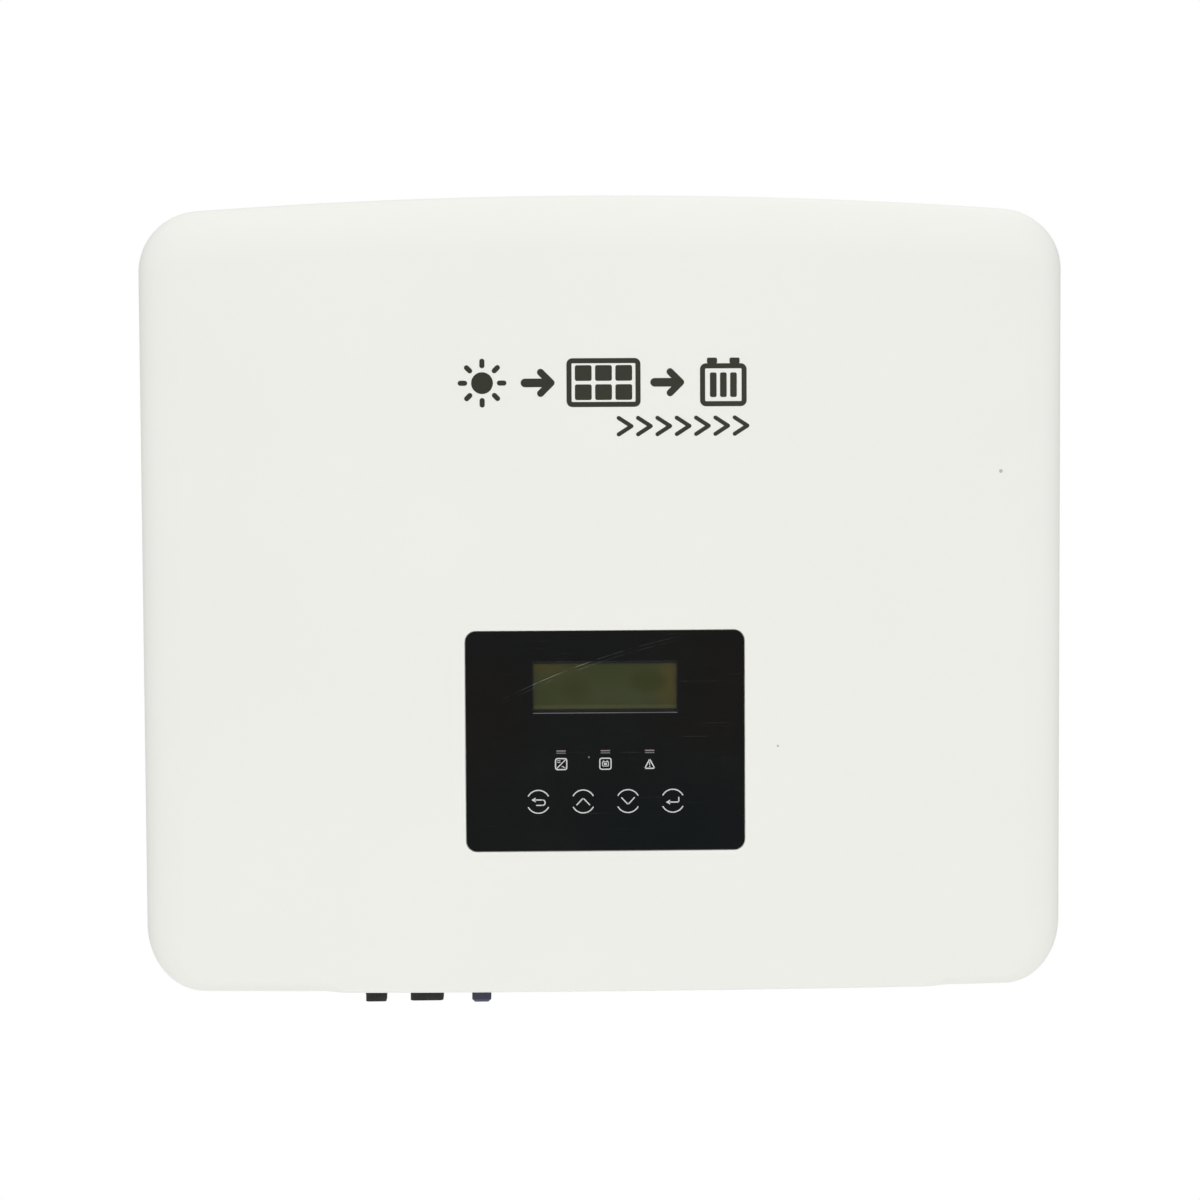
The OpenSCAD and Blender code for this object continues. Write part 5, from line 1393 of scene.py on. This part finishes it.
class INVERTER_OT_ac_sockets(bpy.types.Operator):
    """Builds the two AC sockets with their threads and contact wells"""

    bl_idname = "inverter.ac_sockets"
    bl_label = "AC sockets"

    def execute(self, context):
        for node, wells in (("grid_socket", 5), ("backup_socket", 3)):
            place = below(node)
            bm = bmesh.new()
            flange = plate(36 * MM, 36 * MM, 4 * MM, 0, 3 * MM, 8)
            soften(flange, 0.6 * MM, 3, 60.0)
            join(bm, flange)
            shell = [(13.5 * MM, 2 * MM), (13.5 * MM, 13.4 * MM), (13.9 * MM, 14 * MM),
                     (15.0 * MM, 14 * MM)]
            height = 13.4
            while height > 4.6:
                shell += [(15.95 * MM, height * MM), (15.95 * MM, (height - 0.7) * MM),
                          (15.35 * MM, (height - 1.1) * MM), (15.35 * MM, (height - 1.5) * MM)]
                height -= 2.0
            shell += [(15.35 * MM, 2.9 * MM), (0, 2.9 * MM), (0, 2 * MM)]
            join(bm, turned(shell, 64, closed=False))
            turns = [math.tau / wells * i for i in range(wells)]
            spots = [Matrix.Translation((7.5 * MM * math.cos(a), 7.5 * MM * math.sin(a), 0))
                     for a in turns]
            for spot in spots:
                well = turned([(1.5 * MM, 1.9 * MM), (2.6 * MM, 1.9 * MM), (2.6 * MM, 8.6 * MM),
                               (2.2 * MM, 9 * MM), (1.5 * MM, 9 * MM)], 24, closed=True)
                join(bm, well, spot)
            head = [(0, 2.9 * MM), (2.6 * MM, 2.9 * MM), (2.6 * MM, 4.0 * MM),
                    (2.0 * MM, 4.6 * MM), (1.1 * MM, 4.6 * MM), (1.1 * MM, 3.6 * MM),
                    (0, 3.6 * MM)]
            at_corners(bm, head, 14.2 * MM, 14.2 * MM, 0)
            throat = turned([(0, -10.4 * MM), (13.4 * MM, -10.4 * MM), (13.4 * MM, 0.1 * MM),
                             (0, 0.1 * MM)], 48)
            join(bm, throat)
            bmesh.ops.transform(bm, matrix=place, verts=bm.verts)
            settle(bm, node + "_shell", "inverter", [node],
                   finish("black_plastic"))
            pins = bmesh.new()
            for spot in spots:
                pin = turned([(0, 2.1 * MM), (1.25 * MM, 2.1 * MM), (1.25 * MM, 8 * MM),
                              (0.8 * MM, 8.5 * MM), (0, 8.5 * MM)], 20)
                join(pins, pin, place @ spot)
            settle(pins, node + "_pins", "inverter", [],
                   finish("contact_silver"))
        return {"FINISHED"}


class INVERTER_OT_signal_glands(bpy.types.Operator):
    """Builds the signal plate, its glands and their rubber inserts"""

    bl_idname = "inverter.signal_glands"
    bl_label = "Signal glands"

    def execute(self, context):
        refined("signal_plate", "inverter", ["comms_plate"],
                finish("grey_plastic"), 0.5 * MM)
        bm = bmesh.new()
        plate_low, plate_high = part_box("comms_plate")
        base = TUB_LOW.z - plate_low.z
        head = [(0, 0), (2.6 * MM, 0), (2.6 * MM, 1.0 * MM), (2.0 * MM, 1.6 * MM),
                (1.1 * MM, 1.6 * MM), (1.1 * MM, 0.7 * MM), (0, 0.7 * MM)]
        at_corners(bm, head, 27 * MM, 17 * MM, base, below("comms_plate"))
        settle(bm, "signal_plate_screws", "inverter", [], finish("steel"))

        glands = bmesh.new()
        y = (plate_low.y + plate_high.y) / 2
        for x in lines_of("gland_inserts", 0):
            place = below_at(x, y)
            nut = bmesh.new()
            bmesh.ops.create_circle(nut, cap_ends=True, radius=11.5 * MM, segments=6)
            thicken(nut, 2.5 * MM, 6.5 * MM)
            soften(nut, 0.5 * MM, 2, 30.0)
            join(glands, nut, place)
            profile = [(5.5 * MM, -4 * MM), (8 * MM, -4 * MM), (8 * MM, 2.6 * MM),
                       (8 * MM, 6.4 * MM), (9.7 * MM, 6.6 * MM), (10 * MM, 7 * MM),
                       (10 * MM, 11.3 * MM),
                       (9.4 * MM, 12.4 * MM), (7.6 * MM, 14.3 * MM), (7 * MM, 14.5 * MM),
                       (5.5 * MM, 14.5 * MM)]
            dome = turned(profile, 48, closed=True)
            join(glands, dome, place)
            for i in range(18):
                rib = plate(1.1 * MM, 3.8 * MM, 0.45 * MM, -0.3 * MM, 0.0, 3)
                join(glands, rib, place @ at_rim(math.tau * i / 18, 10 * MM, 9.2 * MM))
        settle(glands, "gland_bodies", "inverter", ["comms_glands"],
               finish("black_plastic"))

        rubber = bmesh.new()
        for x in lines_of("gland_inserts", 0):
            ring = turned([(3 * MM, -3 * MM), (5.45 * MM, -3 * MM), (5.45 * MM, 14.3 * MM),
                           (4.2 * MM, 14.5 * MM), (3.3 * MM, 14.1 * MM), (3 * MM, 13.4 * MM)], 40,
                          closed=True)
            join(rubber, ring, below_at(x, y))
        settle(rubber, "gland_rubbers", "inverter", ["gland_inserts"], finish("rubber"))
        return {"FINISHED"}


class INVERTER_OT_logger_port(bpy.types.Operator):
    """Builds the logger port's ribbed cap, and the breather beside it"""

    bl_idname = "inverter.logger_port"
    bl_label = "Logger port and breather"

    def execute(self, context):
        refined("logger_collar", "inverter", ["dongle_port"],
                finish("black_plastic"), 0.2 * MM)
        low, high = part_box("dongle_cap")
        start, end = TUB_LOW.z - high.z, TUB_LOW.z - low.z
        bm = turned([
            (10.06 * MM, start), (11.4 * MM, start), (11.4 * MM, end - 1.2 * MM),
            (10.4 * MM, end - 0.3 * MM), (9.6 * MM, end), (4 * MM, end),
            (3.6 * MM, end - 0.35 * MM), (0, end - 0.35 * MM), (0, end - 1.7 * MM),
            (10.06 * MM, end - 1.7 * MM)], 64, closed=True)
        for i in range(30):
            rib = plate(1.3 * MM, end - start - 2.6 * MM, 0.5 * MM, -0.3 * MM, 0.58 * MM, 3)
            spot = at_rim(math.tau * i / 30, 11.4 * MM, (start + end - 1.4 * MM) / 2)
            join(bm, rib, spot @ Matrix.Rotation(math.pi / 2, 4, "Z"))
        bmesh.ops.transform(bm, matrix=below("dongle_cap"), verts=bm.verts)
        settle(bm, "logger_cap_ribbed", "logger_cap", ["dongle_cap"],
               finish("black_plastic"))

        bm = bmesh.new()
        bmesh.ops.create_circle(bm, cap_ends=True, radius=8.5 * MM, segments=6)
        thicken(bm, 0, 2.5 * MM)
        soften(bm, 0.4 * MM, 2, 30.0)
        dome = turned([(0, 2.4 * MM), (7 * MM, 2.4 * MM), (7 * MM, 5.2 * MM), (6.2 * MM, 6 * MM),
                       (3.4 * MM, 6 * MM), (3.1 * MM, 5.5 * MM), (0, 5.5 * MM)], 40)
        join(bm, dome)
        for i in range(12):
            slot = plate(0.9 * MM, 1.9 * MM, 0.4 * MM, -0.2 * MM, 0.0, 3)
            join(bm, slot, at_rim(math.tau * i / 12, 7 * MM, 3.9 * MM))
        stem = turned([(0, -7.4 * MM), (5 * MM, -7.4 * MM), (5 * MM, 0.1 * MM), (0, 0.1 * MM)], 32)
        join(bm, stem)
        bmesh.ops.transform(bm, matrix=below("breather_valve"), verts=bm.verts)
        settle(bm, "breather_dome", "inverter", ["breather_valve"],
               finish("black_plastic"))
        return {"FINISHED"}


# ---------------------------------------------------------------- the other pieces

# CAD nodes that are refined, with the width of their rounded edges in millimetres
ROUNDED = {
    "heat_sink": 0.25, "chassis_tub": 0.3, "chassis_lid": 0.25, "hang_rail": 0.4,
    "wall_bracket": 0.4, "wall_bumpers": 0.8, "lock_screw": 0.3, "rail_screws": 0.3,
    "cover_screws": 0.15, "cover_tabs": 0.3, "frame_screws": 0.25, "ground_stud": 0.4,
    "ground_nut": 0.3, "socket_nuts": 0.4, "pin_contacts": 0.6, "sleeve_contacts": 0.3,
    "isolator_shaft": 0.3, "isolator_switch": 0.6, "bus_capacitors": 1.0,
    "film_capacitors": 0.8, "boost_inductors": 1.0, "filter_chokes": 0.0, "grid_relays": 0.5,
    "current_sensors": 0.6, "power_modules": 0.6, "board_standoffs": 0.2, "board_screws": 0.2,
    "display_carrier": 0.2, "display_screws": 0.2, "comms_board": 0.2, "control_board": 0.2,
    "control_chips": 0.2, "main_board": 0.1, "display_board": 0.1, "lcd_frame": 0.08,
}
# nodes whose finish is not their slot's own
SPECIAL = {"lcd_frame": "screen_frame"}
# CAD nodes that keep their shape and only get a finish
PLAIN = ("lid_gasket", "sink_gasket", "thermal_pads", "touch_springs", "display_ribbon",
         "lcd_glass")


def slot_of(node):
    return next(s["material_slot"] for s in frame["record"]["subparts"] if s["node"] == node)


def body_of(node):
    return next(b for b, members in frame["record"]["behaviour"]["bodies"].items()
                if node in members)


class INVERTER_OT_frame_pieces(bpy.types.Operator):
    """Rounds the edges of the metal and inner pieces and gives every node its finish"""

    bl_idname = "inverter.frame_pieces"
    bl_label = "Frame and inner pieces"

    def execute(self, context):
        for node, bevel in ROUNDED.items():
            slot = slot_of(node)
            look = finish(SPECIAL.get(node, slot))
            refined(node + "_piece", body_of(node), [node], look, bevel * MM)
        for node in PLAIN:
            mesh = frame["nodes"][node].data
            mesh.materials.clear()
            mesh.materials.append(finish(slot_of(node)))
        return {"FINISHED"}


# ---------------------------------------------------------------- stage

LIGHT_TARGET = Vector((0, -0.1, -0.08))
# name, place, size, power in watts, and whether it shows in reflections
LIGHTS = (
    ("front_light_high", (0, -1.05, 0.45), (0.7, 0.4), 1.42, False),
    ("front_light_low", (0, -1.05, -0.75), (0.7, 0.4), 1.03, False),
    ("side_light_left", (-1.9, -0.9, 0.3), (0.8, 1.6), 5.0, True),
    ("side_light_right", (1.9, -0.9, 0.3), (0.8, 1.6), 5.0, True),
    ("back_light", (0.6, 1.6, 1.2), (1.4, 1.2), 2.0, True),
)


def area_light(name, place, size, power, mirrored):
    """An area light that points at the unit and isn't seen itself."""
    data = bpy.data.lights.new(name, "AREA")
    data.shape = "RECTANGLE"
    data.size, data.size_y = size
    data.energy = power
    light = bpy.data.objects.new(name, data)
    light.location = place
    light.visible_camera = False
    light.visible_glossy = mirrored
    light.rotation_euler = (LIGHT_TARGET - Vector(place)).to_track_quat("-Z", "Y").to_euler()
    bpy.context.scene.collection.objects.link(light)


class INVERTER_OT_stage(bpy.types.Operator):
    """Sets the camera, the floor, the lights and the surroundings"""

    bl_idname = "inverter.stage"
    bl_label = "Stage"

    def execute(self, context):
        s = context.scene.inverter_stage
        self.camera(context, s)
        self.floor(s)
        self.surroundings(context)
        for light in LIGHTS:
            area_light(*light)
        context.scene.view_settings.view_transform = "Standard"
        return {"FINISHED"}

    def camera(self, context, s):
        forward = Vector((math.sin(s.yaw) * math.cos(s.pitch), math.cos(s.yaw) * math.cos(s.pitch),
                          -math.sin(s.pitch)))
        right = Vector((math.cos(s.yaw), -math.sin(s.yaw), 0))
        up = right.cross(forward)
        across = math.cos(s.roll) * right + math.sin(s.roll) * up
        upwards = -math.sin(s.roll) * right + math.cos(s.roll) * up
        data = bpy.data.cameras.new("camera")
        data.sensor_width = 36.0
        data.lens = s.lens
        data.clip_start, data.clip_end = 0.01, 100.0
        camera = bpy.data.objects.new("camera", data)
        turn = Matrix((across, upwards, -forward)).transposed().to_4x4()
        camera.matrix_world = Matrix.Translation(
            (s.aside, COVER_LOW.y - s.distance, COVER_LOW.z + s.rise)) @ turn
        context.scene.collection.objects.link(camera)
        context.scene.camera = camera

    def floor(self, s):
        bm = bmesh.new()
        bmesh.ops.create_circle(bm, cap_ends=True, radius=s.floor_size, segments=96)
        bmesh.ops.translate(bm, vec=(0, 0, CAD_BOUNDS[0][2] - s.floor_drop), verts=bm.verts)
        mesh = bpy.data.meshes.new("floor")
        bm.to_mesh(mesh)
        bm.free()
        floor = bpy.data.objects.new("floor", mesh)
        bpy.context.scene.collection.objects.link(floor)
        material, n, shader = start_material("floor_pale", {"Roughness": 0.9})
        place = n.place()
        n.feed(shader["Base Color"], n.mix(n.noise(place, 3.0), (0.86, 0.86, 0.86),
                                           (0.9, 0.9, 0.9)))
        glow = n.add("ShaderNodeEmission", {"Color": (1, 1, 1, 1), "Strength": 1.0})
        mirrored = n.add("ShaderNodeLightPath").outputs["Is Glossy Ray"]
        both = n.add("ShaderNodeMixShader")
        tree = material.node_tree
        tree.links.new(mirrored, both.inputs[0])
        tree.links.new(glow.outputs[0], both.inputs[1])
        tree.links.new(tree.nodes["Principled BSDF"].outputs[0], both.inputs[2])
        tree.links.new(both.outputs[0], tree.nodes["Material Output"].inputs[0])
        mesh.materials.append(material)

    def surroundings(self, context):
        """A tent that is white where seen, dimmer below in reflections, and soft for light."""
        world = bpy.data.worlds.new("tent")
        context.scene.world = world
        world.use_nodes = True
        tree = world.node_tree
        n = Nodes(tree)
        tree.nodes.clear()
        way = n.add("ShaderNodeSeparateXYZ", {0: n.add("ShaderNodeTexCoord").outputs[
            "Generated"]}).outputs
        level_ahead, level_rise = 0.55, 0.60
        shine_low, shine_rise = 0.10, 0.8
        level = n.math("ADD", level_ahead, n.math("MULTIPLY", way["Z"], level_rise))
        upper = n.remap(way["Z"], 0.15, 0.7)
        shine = n.math("ADD", shine_low, n.math("MULTIPLY", upper, shine_rise))
        path = n.add("ShaderNodeLightPath").outputs
        value = n.add("ShaderNodeMix", {"Factor": path["Is Glossy Ray"], "A": level, "B": shine},
                      data_type="FLOAT").outputs["Result"]
        seen = n.add("ShaderNodeMix", {"Factor": path["Is Camera Ray"], "A": value, "B": 1.0},
                     data_type="FLOAT").outputs["Result"]
        light = n.add("ShaderNodeBackground", {"Color": (1, 1, 1, 1), "Strength": seen})
        out = n.add("ShaderNodeOutputWorld")
        tree.links.new(light.outputs[0], out.inputs[0])


# ---------------------------------------------------------------- panel and registration

OPERATORS = (
    INVERTER_OT_stage, INVERTER_OT_cover, INVERTER_OT_cover_print, INVERTER_OT_display,
    INVERTER_OT_panel_print, INVERTER_OT_sockets, INVERTER_OT_dust_caps, INVERTER_OT_isolator,
    INVERTER_OT_ac_sockets, INVERTER_OT_signal_glands, INVERTER_OT_logger_port,
    INVERTER_OT_frame_pieces,
)


class VIEW3D_PT_inverter(bpy.types.Panel):
    """Lists the steps that build the inverter"""

    bl_label = "String Inverter"
    bl_idname = "VIEW3D_PT_inverter"
    bl_space_type = "VIEW_3D"
    bl_region_type = "UI"
    bl_category = "Inverter"

    def draw(self, context):
        column = self.layout.column(align=True)
        for operator in OPERATORS:
            column.operator(operator.bl_idname)
        for name in GROUPS:
            box = self.layout.box()
            group = getattr(context.scene, name)
            for key in group.__annotations__:
                box.prop(group, key)


CLASSES = tuple(GROUPS.values()) + OPERATORS + (VIEW3D_PT_inverter,)


def register():
    for cls in CLASSES:
        bpy.utils.register_class(cls)
    for name, group in GROUPS.items():
        setattr(bpy.types.Scene, name, bpy.props.PointerProperty(type=group))


def unregister():
    for name in GROUPS:
        delattr(bpy.types.Scene, name)
    for cls in reversed(CLASSES):
        bpy.utils.unregister_class(cls)


def main():
    register()
    bpy.ops.inverter.stage()
    bpy.ops.inverter.cover()
    bpy.ops.inverter.cover_print()
    bpy.ops.inverter.display()
    bpy.ops.inverter.panel_print()
    bpy.ops.inverter.sockets()
    bpy.ops.inverter.dust_caps()
    bpy.ops.inverter.isolator()
    bpy.ops.inverter.ac_sockets()
    bpy.ops.inverter.signal_glands()
    bpy.ops.inverter.logger_port()
    bpy.ops.inverter.frame_pieces()


if __name__ == "__main__":
    main()
